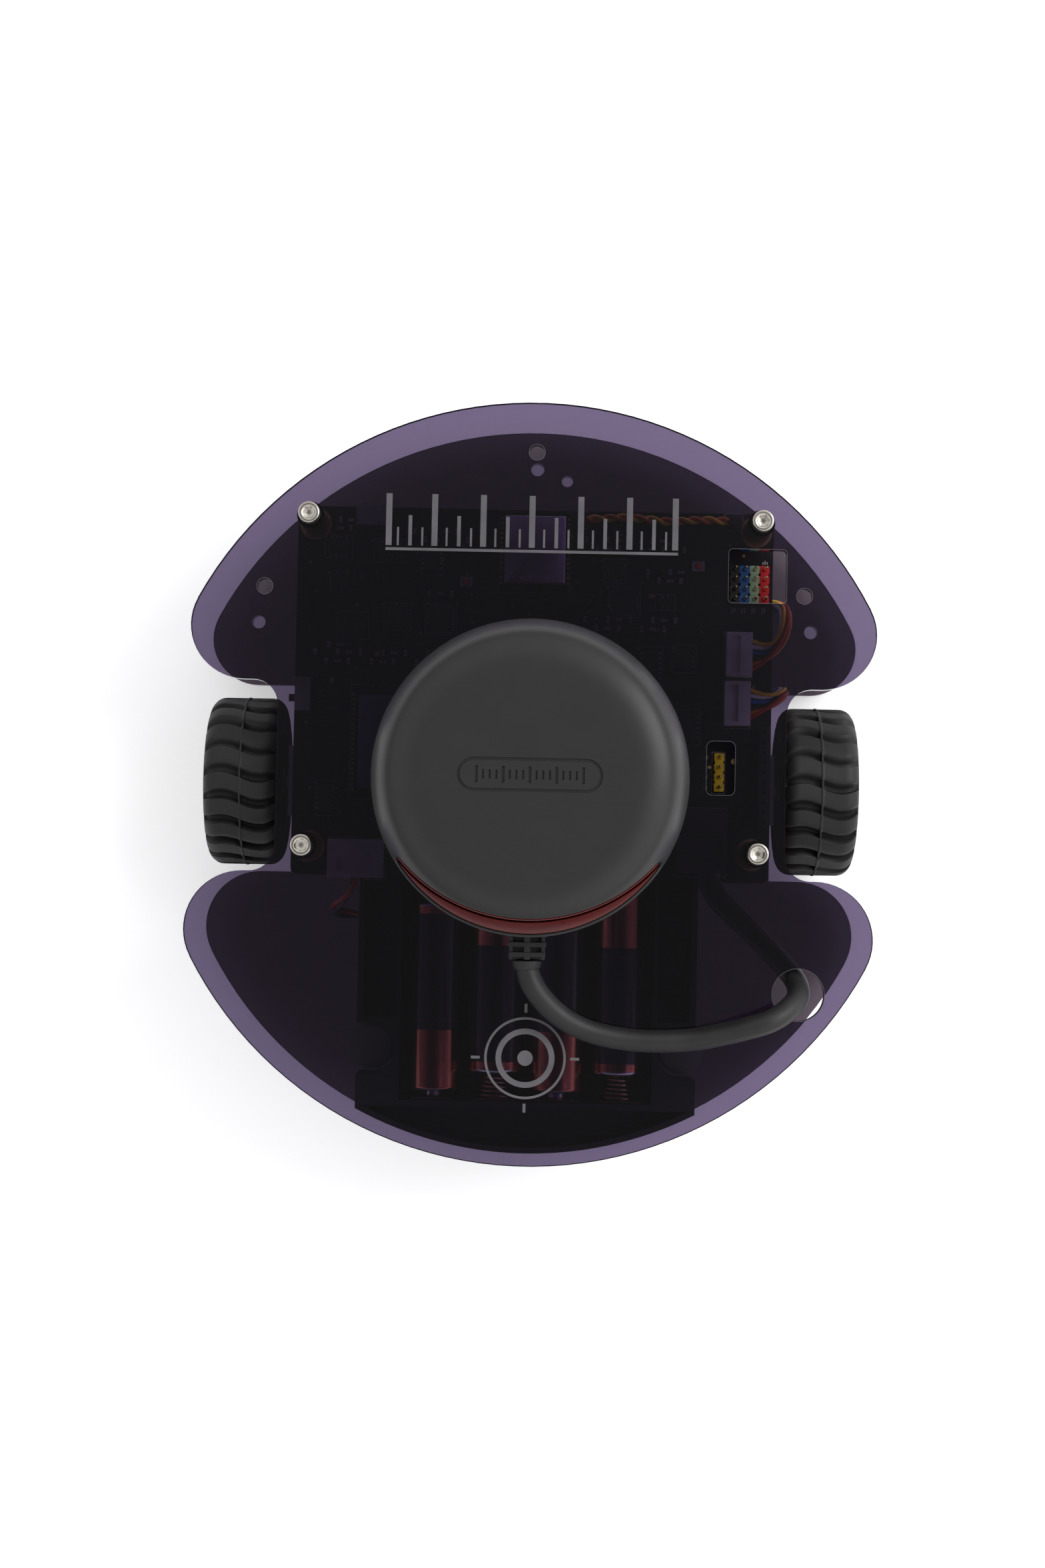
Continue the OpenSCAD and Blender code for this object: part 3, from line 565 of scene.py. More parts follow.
def crown_depth(radius):
    """How far the dome lies below its flat top at a radius."""
    if radius <= CROWN[0][0]:
        return 0.0
    for (r0, d0), (r1, d1) in zip(CROWN, CROWN[1:]):
        if radius <= r1:
            return d0 + (d1 - d0) * (radius - r0) / (r1 - r0)
    return CROWN[-1][1]


def slot_radius(angle, grow=0.0):
    """Distance from the axis to the arc of the cap's rear edge, in a direction."""
    s = SLOT_Y * math.sin(angle)
    return s + math.sqrt(s * s + (SLOT_R + grow) ** 2 - SLOT_Y ** 2)


def slot_openness(angle):
    """1 where the head is slotted, 0 elsewhere, with a short blend at the slot's ends."""
    if math.sin(angle) > 0:
        return 0.0
    t = (SLOT_REACH + 0.12 - slot_radius(angle)) / 0.24
    t = min(max(t, 0.0), 1.0)
    return t * t * (3 - 2 * t)


def cap_profile(angle):
    """Outer skin in one direction: (radius, z) from the crown down to the side wall."""
    edge = min(slot_radius(angle), SLOT_REACH)
    start = CROWN[0][0]
    share = [k / 11 for k in range(12)]
    inner = [start + (edge - start) * t for t in share]
    points = [(r, HEAD_HIGH - crown_depth(r)) for r in inner]
    edge_z = points[-1][1]
    floor = SLOT_FLOOR
    opened = [(edge + 0.1, edge_z - 0.12), (edge + 0.16, edge_z - 0.4),
              (edge + 0.2, floor + 0.2), (edge + 0.3, floor), (WINDOW_R + 0.1, floor),
              (WINDOW_R + 0.13, RIM_Z - 0.15), (WINDOW_R + 0.2, RIM_Z - 0.04),
              (37.35, RIM_Z), (37.6, RIM_Z - 0.1), (37.78, RIM_Z - 0.4), (HEAD_R, SKIRT_Z)]
    closed = []
    for k in range(len(opened)):
        t = (k + 1) / len(opened)
        radius = edge + (HEAD_R - edge) * math.sin(t * math.pi / 2)
        closed.append((radius, HEAD_HIGH - crown_depth(radius)))
    closed[-1] = (HEAD_R, SKIRT_Z)
    s = slot_openness(angle)
    blend = [(a[0] * s + b[0] * (1 - s), a[1] * s + b[1] * (1 - s))
             for a, b in zip(opened, closed)]
    return points + blend


def build_head(bm):
    angles = [2 * math.pi * k / HEAD_STEPS for k in range(HEAD_STEPS)]
    under = [(HEAD_R, 71.2), (37.75, 70.4), (37.35, HEAD_LOW), (33, HEAD_LOW),
             (33, HEAD_LOW + 3), (33.6, HEAD_LOW + 3), (33.6, 74.5), (31.3, 75.8), (31, 80),
             (28, 86), (26, 88.4)]
    flat = [(r, HEAD_HIGH) for r in (ENGRAVED_R, 23)]
    columns = [flat + cap_profile(a) + under for a in angles]
    rings = []
    for k in range(len(columns[0])):
        rings.append([bm.verts.new((column[k][0] * math.cos(a), column[k][0] * math.sin(a),
                                    column[k][1])) for a, column in zip(angles, columns)])
    for low, high in zip(rings, rings[1:]):
        join_rings(bm, low, high)
    bm.faces.new(rings[-1])
    engrave(bm, rings[0])


def capsule_outline(length, width):
    half = (length - width) / 2
    return (arc_points(half, 0, width / 2, -90, 90, 24)
            + arc_points(-half, 0, width / 2, 90, 270, 24))


ENGRAVED_R = 19.5           # the flat middle of the cap, which holds the engraving
ENGRAVED_DEPTH = 0.4


def fill_between(bm, rings):
    """A flat face inside the first ring, with the others as its holes."""
    edges = []
    for ring in rings:
        for a, b in zip(ring, ring[1:] + ring[:1]):
            edges.append(bm.edges.get((a, b)) or bm.edges.new((a, b)))
    bmesh.ops.triangle_fill(bm, use_beauty=True, edges=edges, normal=(0, 0, 1))


def engrave(bm, border):
    """The capsule groove and its tick marks, cut into the flat middle of the cap."""
    top, floor = HEAD_HIGH, HEAD_HIGH - ENGRAVED_DEPTH

    def ring(outline, z):
        return [bm.verts.new((x, y, z)) for x, y in outline]

    outer, inner = capsule_outline(33.9, 7.9), capsule_outline(32.5, 6.5)
    rings = [ring(outer, top), ring(outer, floor), ring(inner, floor), ring(inner, top)]
    for low, high in zip(rings, rings[1:]):
        join_rings(bm, low, high)
    fill_between(bm, [border, rings[0]])
    ticks = []
    for k in range(-8, 9):
        tall, wide = (3.9, 0.66) if k % 4 == 0 else (2.1, 0.44)
        x = k * 1.55
        outline = [(x - wide / 2, -tall / 2), (x + wide / 2, -tall / 2), (x + wide / 2, tall / 2),
                   (x - wide / 2, tall / 2)]
        edge, bed = ring(outline, top), ring(outline, floor)
        join_rings(bm, edge, bed)
        bm.faces.new(bed)
        ticks.append(edge)
    fill_between(bm, [rings[3], *ticks])


def slot_angles():
    """Directions in which the slot is open, from its right end round to its left end."""
    count = 200
    every = [math.radians(-180 + 180 * k / count) for k in range(count + 1)]
    return [a for a in every if slot_radius(a) < SLOT_REACH - 0.02]


def build_band(bm, section):
    """Sweeps section(angle), a closed list of (radius, z), along the slot."""
    rings = []
    for a in slot_angles():
        rings.append([bm.verts.new((r * math.cos(a), r * math.sin(a), z))
                      for r, z in section(a)])
    for low, high in zip(rings, rings[1:]):
        join_rings(bm, low, high)
    bm.faces.new(rings[0])
    bm.faces.new(rings[-1])


def window_section(angle):
    """The dark red window, highest along the cap and sloping out to the rim."""
    inner = min(slot_radius(angle, GAP), WINDOW_R - 0.12)
    width = WINDOW_R - inner
    inner_z = HEAD_HIGH - crown_depth(inner) - 0.45
    outer_z = RIM_Z + 0.35
    soft = min(0.22, width / 3)
    return [(inner, SLOT_FLOOR - 0.05), (inner, inner_z - soft),
            (inner + soft * 0.3, inner_z - soft * 0.3),
            (inner + soft, inner_z), (WINDOW_R - soft, outer_z + 0.02),
            (WINDOW_R - soft * 0.3, outer_z - soft * 0.35), (WINDOW_R, outer_z - soft),
            (WINDOW_R, SLOT_FLOOR - 0.05)]


def lip_section(angle):
    """A thin red lip that stands along the cap's cut edge."""
    edge = slot_radius(angle) + 0.2
    top = HEAD_HIGH - crown_depth(edge) - 0.2
    return [(edge, SLOT_FLOOR), (edge, top), (edge + LIP * 0.5, top + 0.1),
            (edge + LIP, top - 0.15), (edge + LIP, SLOT_FLOOR)]


def build_strain_relief(bm):
    """Collars on a thin core with struts between them."""
    low, high = box_mm("lidar_strain_relief")
    root = -math.sqrt(37.25 ** 2 - high.x ** 2)
    pitch = (root - low.y) / 6.1
    middle = (low.z + high.z) / 2
    half = (high.z - low.z) / 2
    for k in range(3):
        start = root - k * pitch * 2.1
        wide = high.x - 0.22 * k
        block(bm, (-wide, start - pitch, middle - half), (wide, start, middle + half))
    length = root - low.y - 0.4
    for x, wide, tall in ((0, 0.75, half - 0.15), (-high.x + 0.95, 0.45, half - 0.5),
                          (high.x - 0.95, 0.45, half - 0.5), (0, high.x - 1.4, half - 2.0)):
        block(bm, (x - wide, root - length, middle - tall), (x + wide, root, middle + tall))
    lathe(bm, [(0, 0), (3.7, 0), (3.4, 1.4), (2.95, 2.2), (0, 2.2)], 36,
          at(0, low.y + 0.05, 58) @ Matrix.Rotation(math.pi / 2, 4, "X"))


def make_scanner():
    head = mesh_piece("scanner_cap", "scan_head", MATERIALS["scanner_head"], build_head, 38)
    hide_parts("lidar_head")
    window = mesh_piece("scanner_window", "scan_head", MATERIALS["window"],
                        lambda bm: build_band(bm, window_section), 60)
    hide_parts("lidar_window")
    mesh_piece("window_lip", "scan_head", MATERIALS["window"],
               lambda bm: build_band(bm, lip_section), 60)
    relief = mesh_piece("strain_relief", "chassis", MATERIALS["cable"], build_strain_relief,
                        bevel=0.12)
    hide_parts("lidar_strain_relief")


# ---------- wheels ----------

TYRE_LOW, TYRE_HIGH = box_mm("right_tyre")
WHEEL_X = (TYRE_LOW.x + TYRE_HIGH.x) / 2
AXLE_Z = (TYRE_LOW.z + TYRE_HIGH.z) / 2
TYRE_R = (TYRE_HIGH.z - TYRE_LOW.z) / 2
TYRE_HALF = (TYRE_HIGH.x - TYRE_LOW.x) / 2
RIM_R = box_mm("right_rim")[1].z - AXLE_Z
TREADS = 20
TREAD_R = TYRE_R - 0.15     # the mould seam stands proud of the tread
SHOULDER_R = 3.5
GROOVE_DEPTH = 1.9
WAVE = 1.3                 # how far a groove swings forward and back across the tyre

# Distance along one tread pitch in millimetres, and the share of the groove's depth there
TREAD_STEPS = [(0, 0.0), (0.12, 0.1), (0.26, 0.8), (0.45, 1.0), (1.3, 1.0), (1.8, 0.78),
               (2.25, 0.4), (2.7, 0.1), (3.1, 0.0), (4.0, 0.0), (5.2, 0.0), (6.5, 0.0)]


def tyre_columns():
    """(x, radius, groove share) across the tyre, from one bore edge to the other."""
    half = [(TYRE_HALF - 0.45, RIM_R, 0), (TYRE_HALF - 0.2, RIM_R + 0.5, 0),
            (TYRE_HALF - 0.15, RIM_R + 1.2, 0), (TYRE_HALF - 0.5, RIM_R + 1.6, 0),
            (TYRE_HALF - 0.5, RIM_R + 2.1, 0), (TYRE_HALF - 0.12, RIM_R + 2.5, 0)]
    centre_x = TYRE_HALF - SHOULDER_R
    centre_r = TREAD_R - SHOULDER_R
    for k in range(8):
        a = math.pi / 2 * k / 7
        share = min(max((k - 0.5) / 2.5, 0), 1)
        half.append((centre_x + SHOULDER_R * math.cos(a), centre_r + SHOULDER_R * math.sin(a),
                     share))
    steps = 11
    for k in range(1, steps):
        half.append((0.55 + (centre_x - 0.55) * (steps - k) / steps, TREAD_R, 1))
    half += [(0.5, TREAD_R, 0.95), (0.36, TREAD_R, 0.5), (0.2, TYRE_R, 0.1)]
    return [(-x, r, share) for x, r, share in half] + half[::-1]


def build_tyre(bm, side, rng):
    pitch = 2 * math.pi / TREADS
    pitch_mm = pitch * TREAD_R
    stretch = pitch_mm / 6.83
    columns = tyre_columns()
    rings = []
    for k in range(TREADS):
        drift = rng.uniform(-0.1, 0.1)
        for along, depth in TREAD_STEPS:
            ring = []
            for x, radius, share in columns:
                swing = -WAVE * math.sin(math.pi * x / TYRE_HALF) * min(1, share * 1.5)
                seam_drift = drift if abs(x) < 0.5 else 0
                angle = k * pitch + (along * stretch + swing) / TREAD_R
                r = radius - GROOVE_DEPTH * depth * share
                ring.append(bm.verts.new((side * WHEEL_X + x + seam_drift * (1 - depth),
                                          r * math.sin(angle), AXLE_Z + r * math.cos(angle))))
            rings.append(ring)
    for ring, following in zip(rings, rings[1:] + rings[:1]):
        join_rings(bm, ring, following)


def build_rim_trim(bm, side):
    """Hub boss, six ribs and the raised ring of the dish, on the wheel's outer face."""
    turn = at(side * WHEEL_X, 0, AXLE_Z) @ ALONG_X
    flip = Matrix.Diagonal((1, 1, side, 1))
    ring = [(RIM_R - 2.3, 8.75), (RIM_R - 1.9, 8.98), (RIM_R - 0.6, 9.05), (RIM_R - 0.2, 8.8),
            (RIM_R - 0.2, 8.3), (RIM_R - 2.3, 8.3)]
    lathe(bm, ring, 96, turn @ flip, closed=True)
    boss = [(1.62, 2.2), (3.5, 2.2), (3.5, 2.9), (3.2, 3.4), (2.0, 3.5), (1.62, 3.2)]
    lathe(bm, boss, 48, turn @ flip, closed=True)
    for k in range(6):
        angle = math.radians(60 * k + 30)
        spoke = turn @ flip @ Matrix.Rotation(angle, 4, "Z")
        block(bm, (4.2, -0.65, 1.0), (RIM_R - 1.9, 0.65, 2.1), spoke)


def make_wheels():
    for side, name in zip(SIDES, ("left", "right")):
        rng = random.Random(11 + side)
        rubber = mesh_piece(f"{name}_tread", f"{name}_wheel", MATERIALS["tyre"],
                            lambda bm, s=side, r=rng: build_tyre(bm, s, r), 48)
        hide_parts(f"{name}_tyre")
        mesh_piece(f"{name}_rim_trim", f"{name}_wheel", MATERIALS["rim"],
                   lambda bm, s=side: build_rim_trim(bm, s), bevel=0.1)


# ---------- screws ----------

def screw_head(bm, place, radius, height, socket, depth):
    """A cap screw head standing on local z 0, with a chamfered rim and a hex socket."""
    steps = 48
    soft = min(0.4, height * 0.2)
    profile = [(0, -0.02), (radius - 0.15, -0.02), (radius, 0.12), (radius, height - soft * 1.2),
               (radius - soft * 0.25, height - soft * 0.45), (radius - soft * 0.7, height - 0.05),
               (radius - soft * 1.1, height), (socket + 0.42, height),
               (socket + 0.14, height - 0.1)]
    rings = []
    for r, z in profile:
        angles = [2 * math.pi * k / steps for k in range(steps)] if r else [0]
        rings.append([bm.verts.new(place @ Vector((r * math.cos(a), r * math.sin(a), z)))
                      for a in angles])
    for z, shrink in ((height - 0.3, 1.0), (height - depth, 1.0), (height - depth - 0.1, 0.72)):
        ring = []
        for k in range(steps):
            a = 2 * math.pi * k / steps
            flat = math.cos(math.pi / 6) / math.cos((a % (math.pi / 3)) - math.pi / 6)
            r = socket * flat * shrink
            ring.append(bm.verts.new(place @ Vector((r * math.cos(a), r * math.sin(a), z))))
        rings.append(ring)
    rings.append([bm.verts.new(place @ Vector((0, 0, height - depth - 0.45)))])
    for low, high in zip(rings, rings[1:]):
        join_rings(bm, low, high)


def thread(bm, place, radius, low, high, pitch=0.5):
    """A screw's shank, with rings for its thread, along local z."""
    profile = [(0, low), (radius * 0.7, low), (radius * 0.8, low + 0.2)]
    for k in range(int((high - low - 0.4) / pitch)):
        z = low + 0.3 + k * pitch
        profile += [(radius * 0.84, z), (radius, z + pitch * 0.5)]
    profile += [(radius * 0.84, high - 0.05), (radius * 0.84, high), (0, high)]
    lathe(bm, profile, 24, place)


DOWN = Matrix.Rotation(math.pi, 4, "X")


def build_top_screws(bm):
    for low, high in solids_of("top_screws"):
        x, y = (low.x + high.x) / 2, (low.y + high.y) / 2
        turn = Matrix.Rotation(math.radians(17 * x + 31 * y), 4, "Z")
        screw_head(bm, at(x, y, DECK_TOP) @ turn, 2.75, high.z - DECK_TOP, 1.5, 1.7)
        thread(bm, at(x, y, 0), 1.48, low.z, DECK_TOP)


def build_under_screws(bm):
    for node, radius, shank, socket in (("bottom_screws", 2.75, 1.48, 1.2),
                                        ("lidar_screws", 2.25, 1.18, 1.0)):
        plane = BOTTOM_LOW if node == "bottom_screws" else DECK_LOW
        for low, high in solids_of(node):
            x, y = (low.x + high.x) / 2, (low.y + high.y) / 2
            turn = Matrix.Rotation(math.radians(23 * x + 7 * y), 4, "Z")
            screw_head(bm, at(x, y, plane) @ DOWN @ turn, radius, plane - low.z, socket, 0.8)
            thread(bm, at(x, y, 0), shank, plane, high.z)


def build_bracket_screws(bm):
    for low, high in solids_of("bracket_screws"):
        x, y, z = (low + high) / 2
        side = 1 if x > 0 else -1
        if high.z - low.z > 4:
            seat = high.z - 2
            screw_head(bm, at(x, y, seat), 2.75, 2, 1.25, 1.0)
            thread(bm, at(x, y, 0), 1.48, low.z, seat)
        else:
            outer = high.x if side > 0 else low.x
            turn = at(outer - side * 0.9, y, z) @ ALONG_X @ Matrix.Diagonal((1, 1, side, 1))
            screw_head(bm, turn, 1.4, 0.9, 0.62, 0.5)
            thread(bm, turn, 0.78, -3.9, 0, 0.4)


def make_screws():
    for name, build, nodes in (("cap_screws", build_top_screws, ["top_screws"]),
                               ("under_screws", build_under_screws,
                                ["bottom_screws", "lidar_screws"]),
                               ("gearmotor_screws", build_bracket_screws, ["bracket_screws"])):
        piece = mesh_piece(name, "chassis", MATERIALS["screw"], build, 40)
        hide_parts(*nodes)


# ---------- deck marks and painted edge highlights ---

MARK_LOW = DECK_TOP + 0.005
MARK_HIGH = DECK_TOP + 0.035
RULER_X = (-37.4, 35.6)     # ends of the graduated bar at the front
RULER_Y = 57.6
RING_Y = -68.3              # centre of the ring at the rear


def build_marks(bm):
    """A graduated bar at the front and a ring with a dot at the rear."""
    start, end = RULER_X
    block(bm, (start, RULER_Y - 0.35, MARK_LOW), (end, RULER_Y + 0.35, MARK_HIGH))
    divisions = 24
    for k in range(divisions + 1):
        x = start + (end - start) * k / divisions
        tall, wide = ((13.0, 1.5), (4.6, 0.5), (7.6, 0.9), (4.6, 0.5))[k % 4]
        left = min(max(x - wide / 2, start), end - wide)
        block(bm, (left, RULER_Y + 0.9, MARK_LOW), (left + wide, RULER_Y + 0.9 + tall, MARK_HIGH))
    for inner, outer in ((9.5, 10.1), (5.9, 7.3)):
        rings = [arc_points(0, RING_Y, r, 0, 360 - 4, 89) for r in (inner, outer)]
        ring_strip(bm, *rings, MARK_LOW, MARK_HIGH)
    prism(bm, arc_points(0, RING_Y, 1.9, 0, 360 - 8, 44), MARK_LOW, MARK_HIGH)
    for k in range(4):
        spin = at(0, RING_Y, 0) @ Matrix.Rotation(math.pi / 2 * k, 4, "Z")
        prism(bm, [(11.2, -0.35), (13.4, -0.35), (13.4, 0.35), (11.2, 0.35)],
              MARK_LOW, MARK_HIGH, spin)


HEADER_WINDOW = ((48.3, 45.7), (62.8, 59.2), 1)     # low corner, high corner, corner radius
DEBUG_WINDOW = ((43.6, -2.3), (50.7, 11.1), 1.5)
TOP_HOLES = [((0, 82.5), 2), ((67.3, 47.7), 2), ((-67.3, 47.7), 2), ((67.2, -51.4), 6.5)]
EDGE = 0.08                 # width of the pale strip painted along a cut edge as its highlight


def build_edge_highlights(bm):
    """Fine pale strips round the windows and holes: a painted highlight for the light that the cut
    edges catch.
    """
    for low, high, radius in (HEADER_WINDOW, DEBUG_WINDOW):
        inner = rounded_outline(low, high, radius)
        outer = rounded_outline([v - EDGE for v in low], [v + EDGE for v in high], radius + EDGE)
        ring_strip(bm, inner, outer, MARK_LOW, MARK_LOW + 0.02)
    for (x, y), radius in TOP_HOLES:
        rings = [arc_points(x, y, r, 0, 356, 89) for r in (radius, radius + EDGE)]
        ring_strip(bm, *rings, MARK_LOW, MARK_LOW + 0.02)


def make_deck_marks():
    mesh_piece("deck_marks", "chassis", EXTRA["etched"], build_marks)
    mesh_piece("deck_edge_highlights", "chassis", EXTRA["edge_highlight_paint"], build_edge_highlights)


# ---------- leads: coloured wires along the CAD model's routes ----------

FRONT_MOTOR_ROUTE = [
    (55.65, 34.1, 34.6), (58.5, 34.3, 34.9), (61.6, 36.2, 35.2), (63.6, 39.8, 34.8),
    (64.3, 43.6, 33), (64, 46.6, 29.6), (61.6, 48, 25.4), (57, 46.8, 22), (50.5, 43, 20),
    (42, 37.5, 19), (32, 31.5, 18.6), (21, 26, 18.6), (9, 22, 18.6), (-3, 19.6, 18.6),
    (-14, 18.4, 18.8), (-23, 16.8, 19.6), (-28.6, 14, 20.8), (-31, 11.4, 21.6), (-31.5, 9, 21.75),
]
REAR_MOTOR_ROUTE = [
    (55.35, 21.6, 34.6), (58, 21.7, 34.8), (61, 22.6, 34.4), (63.4, 24.2, 32.4),
    (64.2, 25.2, 29), (62.8, 24.8, 25.6), (59, 22.6, 23), (53.6, 19.6, 21.6), (47.4, 16.8, 21),
    (41, 15, 21), (35.6, 13.4, 21.4), (32.4, 11.4, 21.7), (31.5, 9, 21.75),
]
BATTERY_ROUTE = [
    (-43.7, -34, 19), (-46.5, -34, 19.2), (-49, -33.6, 21), (-50, -33, 24.4), (-49.4, -32, 28.4),
    (-47.4, -30.2, 32), (-45.2, -27.6, 34.4), (-44.2, -24.6, 35.2),
]
FRONT_LEAD_ROUTE = [
    (12.8, 68.4, 33.4), (17, 68.5, 33.4), (22, 68.9, 33.4), (28, 68.6, 33.4), (34, 68.1, 33.4),
    (40, 68.5, 33.4), (45, 68.6, 33.4), (49.2, 68.4, 33.4),
]
PLUG_PITCH = 1.5


def bundle(name, route, colours, gauge, ring, turns=0.0, fan_start=0.0, fan_end=0.0, steps=6):
    """Wires laid round each other on a ring about a route, fanned out along Y at its ends."""
    path = smooth_path(route, steps)
    count = len(colours)
    total = path_length(path)
    wires = []
    frames = []
    across = Vector((0.1, 0.2, 1))
    walked = 0.0
    for i, place in enumerate(path):
        ahead = (path[min(i + 1, len(path) - 1)] - path[max(i - 1, 0)]).normalized()
        across = (across - ahead * across.dot(ahead)).normalized()
        if i:
            walked += (place - path[i - 1]).length
        frames.append((place, across, ahead.cross(across), walked))
    for k, colour in enumerate(colours):
        points = []
        for place, u, w, far in frames:
            near = max(0.0, 1 - far / 9) ** 1.5 * fan_start
            late = max(0.0, 1 - (total - far) / 7) ** 1.5 * fan_end
            fan = near + late
            angle = 2 * math.pi * (k / count + turns * far / total)
            tight = 1 - min(1.0, max(near / (fan_start or 1), late / (fan_end or 1)))
            offset = ring * tight * (math.cos(angle) * u + math.sin(angle) * w)
            sideways = Vector((0, fan * (k - (count - 1) / 2), 0))
            points.append(place + offset + sideways)
        wires.append(wire(f"{name}_{colour}", points, gauge, EXTRA[colour]))
    return wires


MOTOR_COLOURS = ["red", "orange", "black", "blue", "white", "yellow"]


def make_leads():
    front = bundle("front_motor_wire", FRONT_MOTOR_ROUTE, MOTOR_COLOURS, 1.05, 1.12, 0.9,
                   PLUG_PITCH, 0.8)
    bundle("rear_motor_wire", REAR_MOTOR_ROUTE, MOTOR_COLOURS, 1.05, 1.12, 0.5, PLUG_PITCH, 0.8)
    bundle("battery_wire", BATTERY_ROUTE, ["red", "black"], 1.35, 0.7, 0.8)
    bundle("front_wire", FRONT_LEAD_ROUTE, ["orange", "yellow"], 1.1, 0.58, 5, steps=12)
    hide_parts("inner_leads")


# ---------- controller board ----------

def flat_box(box):
    """Centre x and y, size along x and y, low z and high z of a box."""
    low, high = box
    return ((low.x + high.x) / 2, (low.y + high.y) / 2, high.x - low.x, high.y - low.y,
            low.z, high.z)


def build_packages(bm):
    for box in solids_of("chips"):
        x, y, w, d, z0, z1 = flat_box(box)
        lift = 0.12
        if z1 - z0 > 2.4:
            prism(bm, rounded_outline((x - w / 2, y - d / 2), (x + w / 2, y + d / 2), 0.9, 4),
                  z0 + lift, z1 - 0.5)
            lathe(bm, [(0, z1 - 0.5), (min(w, d) * 0.42, z1 - 0.5), (min(w, d) * 0.4, z1 - 0.1),
                       (min(w, d) * 0.36, z1), (0, z1)], 40, at(x, y, 0))
        else:
            notch = 0.35
            block(bm, (x - w / 2 + notch, y - d / 2 + notch, z0 + lift),
                  (x + w / 2 - notch, y + d / 2 - notch, z1))


def leg(bm, x, y, outward, z0, height, wide):
    """A gull-wing leg: a foot on the board and a riser against the package."""
    foot = Vector((x, y, 0))
    side = Vector((-outward.y, outward.x, 0)) * wide / 2
    for near, far, low, high in ((-0.05, 0.42, z0, z0 + 0.14),
                                 (-0.12, 0.08, z0 + 0.1, z0 + height)):
        a = foot + outward * near - side
        b = foot + outward * far + side
        block(bm, (min(a.x, b.x), min(a.y, b.y), low), (max(a.x, b.x), max(a.y, b.y), high))


def build_legs(bm):
    for box in solids_of("chips"):
        x, y, w, d, z0, z1 = flat_box(box)
        height = min(0.5, (z1 - z0) * 0.45)
        fine = min(w, d) >= 4.9 and z1 - z0 <= 1.05
        pitch = 0.65 if fine else 1.27
        sides = [(Vector((s, 0, 0)), w, d) for s in SIDES]
        if fine:
            sides += [(Vector((0, s, 0)), d, w) for s in SIDES]
        elif w > d:
            sides = [(Vector((0, s, 0)), d, w) for s in SIDES]
        for outward, reach, length in sides:
            count = max(2, int((length - 0.8) / pitch))
            for k in range(count):
                slide = (k - (count - 1) / 2) * pitch
                out = reach / 2 - 0.33
                px = x + outward.x * out + abs(outward.y) * slide
                py = y + outward.y * out + abs(outward.x) * slide
                leg(bm, px, py, outward, z0, height, pitch * 0.45)


def build_small_bodies(bm):
    for box in solids_of("passives"):
        x, y, w, d, z0, z1 = flat_box(box)
        trim = (0.22, 0.02) if w > d else (0.02, 0.22)
        block(bm, (x - w / 2 + trim[0], y - d / 2 + trim[1], z0 + 0.05),
              (x + w / 2 - trim[0], y + d / 2 - trim[1], z1 - 0.03))


def build_terminals(bm):
    for box in solids_of("passives"):
        x, y, w, d, z0, z1 = flat_box(box)
        for s in SIDES:
            if w > d:
                block(bm, (x + s * w / 2 - (0.26 if s > 0 else 0), y - d / 2, z0),
                      (x + s * w / 2 + (0.26 if s < 0 else 0), y + d / 2, z1))
            else:
                block(bm, (x - w / 2, y + s * d / 2 - (0.26 if s > 0 else 0), z0),
                      (x + w / 2, y + s * d / 2 + (0.26 if s < 0 else 0), z1))


def build_pins(bm):
    """Square header pins with tapered tips."""
    for box in solids_of("header_pins"):
        x, y, w, _, z0, z1 = flat_box(box)
        half, tip = w / 2, w / 4
        rings = []
        for r, z in ((half, z0), (half, z1 - 0.6), (tip, z1)):
            rings.append([bm.verts.new((x + sx * r, y + sy * r, z))
                          for sx, sy in ((-1, -1), (1, -1), (1, 1), (-1, 1))])
        for low, high in zip(rings, rings[1:]):
            join_rings(bm, low, high)
        bm.faces.new(rings[0][::-1])
        bm.faces.new(rings[-1])


def build_leds(bm):
    for box in solids_of("status_leds"):
        x, y, _, _, z0, z1 = flat_box(box)
        dome = [(0, z0 + 0.3), (0.85, z0 + 0.3), (0.85, z0 + 0.75), (0.7, z1 - 0.12),
                (0.4, z1), (0, z1)]
        lathe(bm, dome, 32, at(x, y, 0))


def build_led_frames(bm):
    for box in solids_of("status_leds"):
        x, y, w, _, z0, _ = flat_box(box)
        half = w / 2
        ring_strip(bm, rounded_outline((x - 0.95, y - 0.95), (x + 0.95, y + 0.95), 0.9, 8),
                   rounded_outline((x - half, y - half * 0.8), (x + half, y + half * 0.8), 0.2, 8),
                   z0, z0 + 0.7)


def through_holes():
    """Centres of every through-hole pin on the board."""
    holes = []
    for box in solids_of("header_pins"):
        holes.append(flat_box(box)[:2])
    for box in solids_of("side_headers"):
        x, y, _, d, _, _ = flat_box(box)
        count = round(d / 2.54)
        holes += [(x, y + (k - (count - 1) / 2) * 2.54) for k in range(count)]
    for box in solids_of("motor_plugs"):
        x, y, *_ = flat_box(box)
        holes += [(x + 0.8 * (1 if k % 2 else -1), y + (k - 2.5) * 1.5) for k in range(6)]
    for node, count, pitch in (("battery_connector", 3, 3.6), ("lidar_socket", 4, 2.5)):
        x, y, *_ = flat_box(box_mm(node))
        holes += [(x + (k - (count - 1) / 2) * pitch, y) for k in range(count)]
    x, y, *_ = flat_box(box_mm("power_switch"))
    holes += [(x, y + k * 2.2) for k in (-1, 0, 1)]
    return holes


def build_solder_joints(bm):
    """Cones of solder under the board, each round the cut end of a pin."""
    for x, y in through_holes():
        cone = [(0, -1.3), (0.26, -1.25), (0.32, -0.75), (0.48, -0.35), (0.85, -0.06),
                (0.92, 0.01), (0, 0.01)]
        lathe(bm, cone, 14, at(x, y, BOARD_LOW))


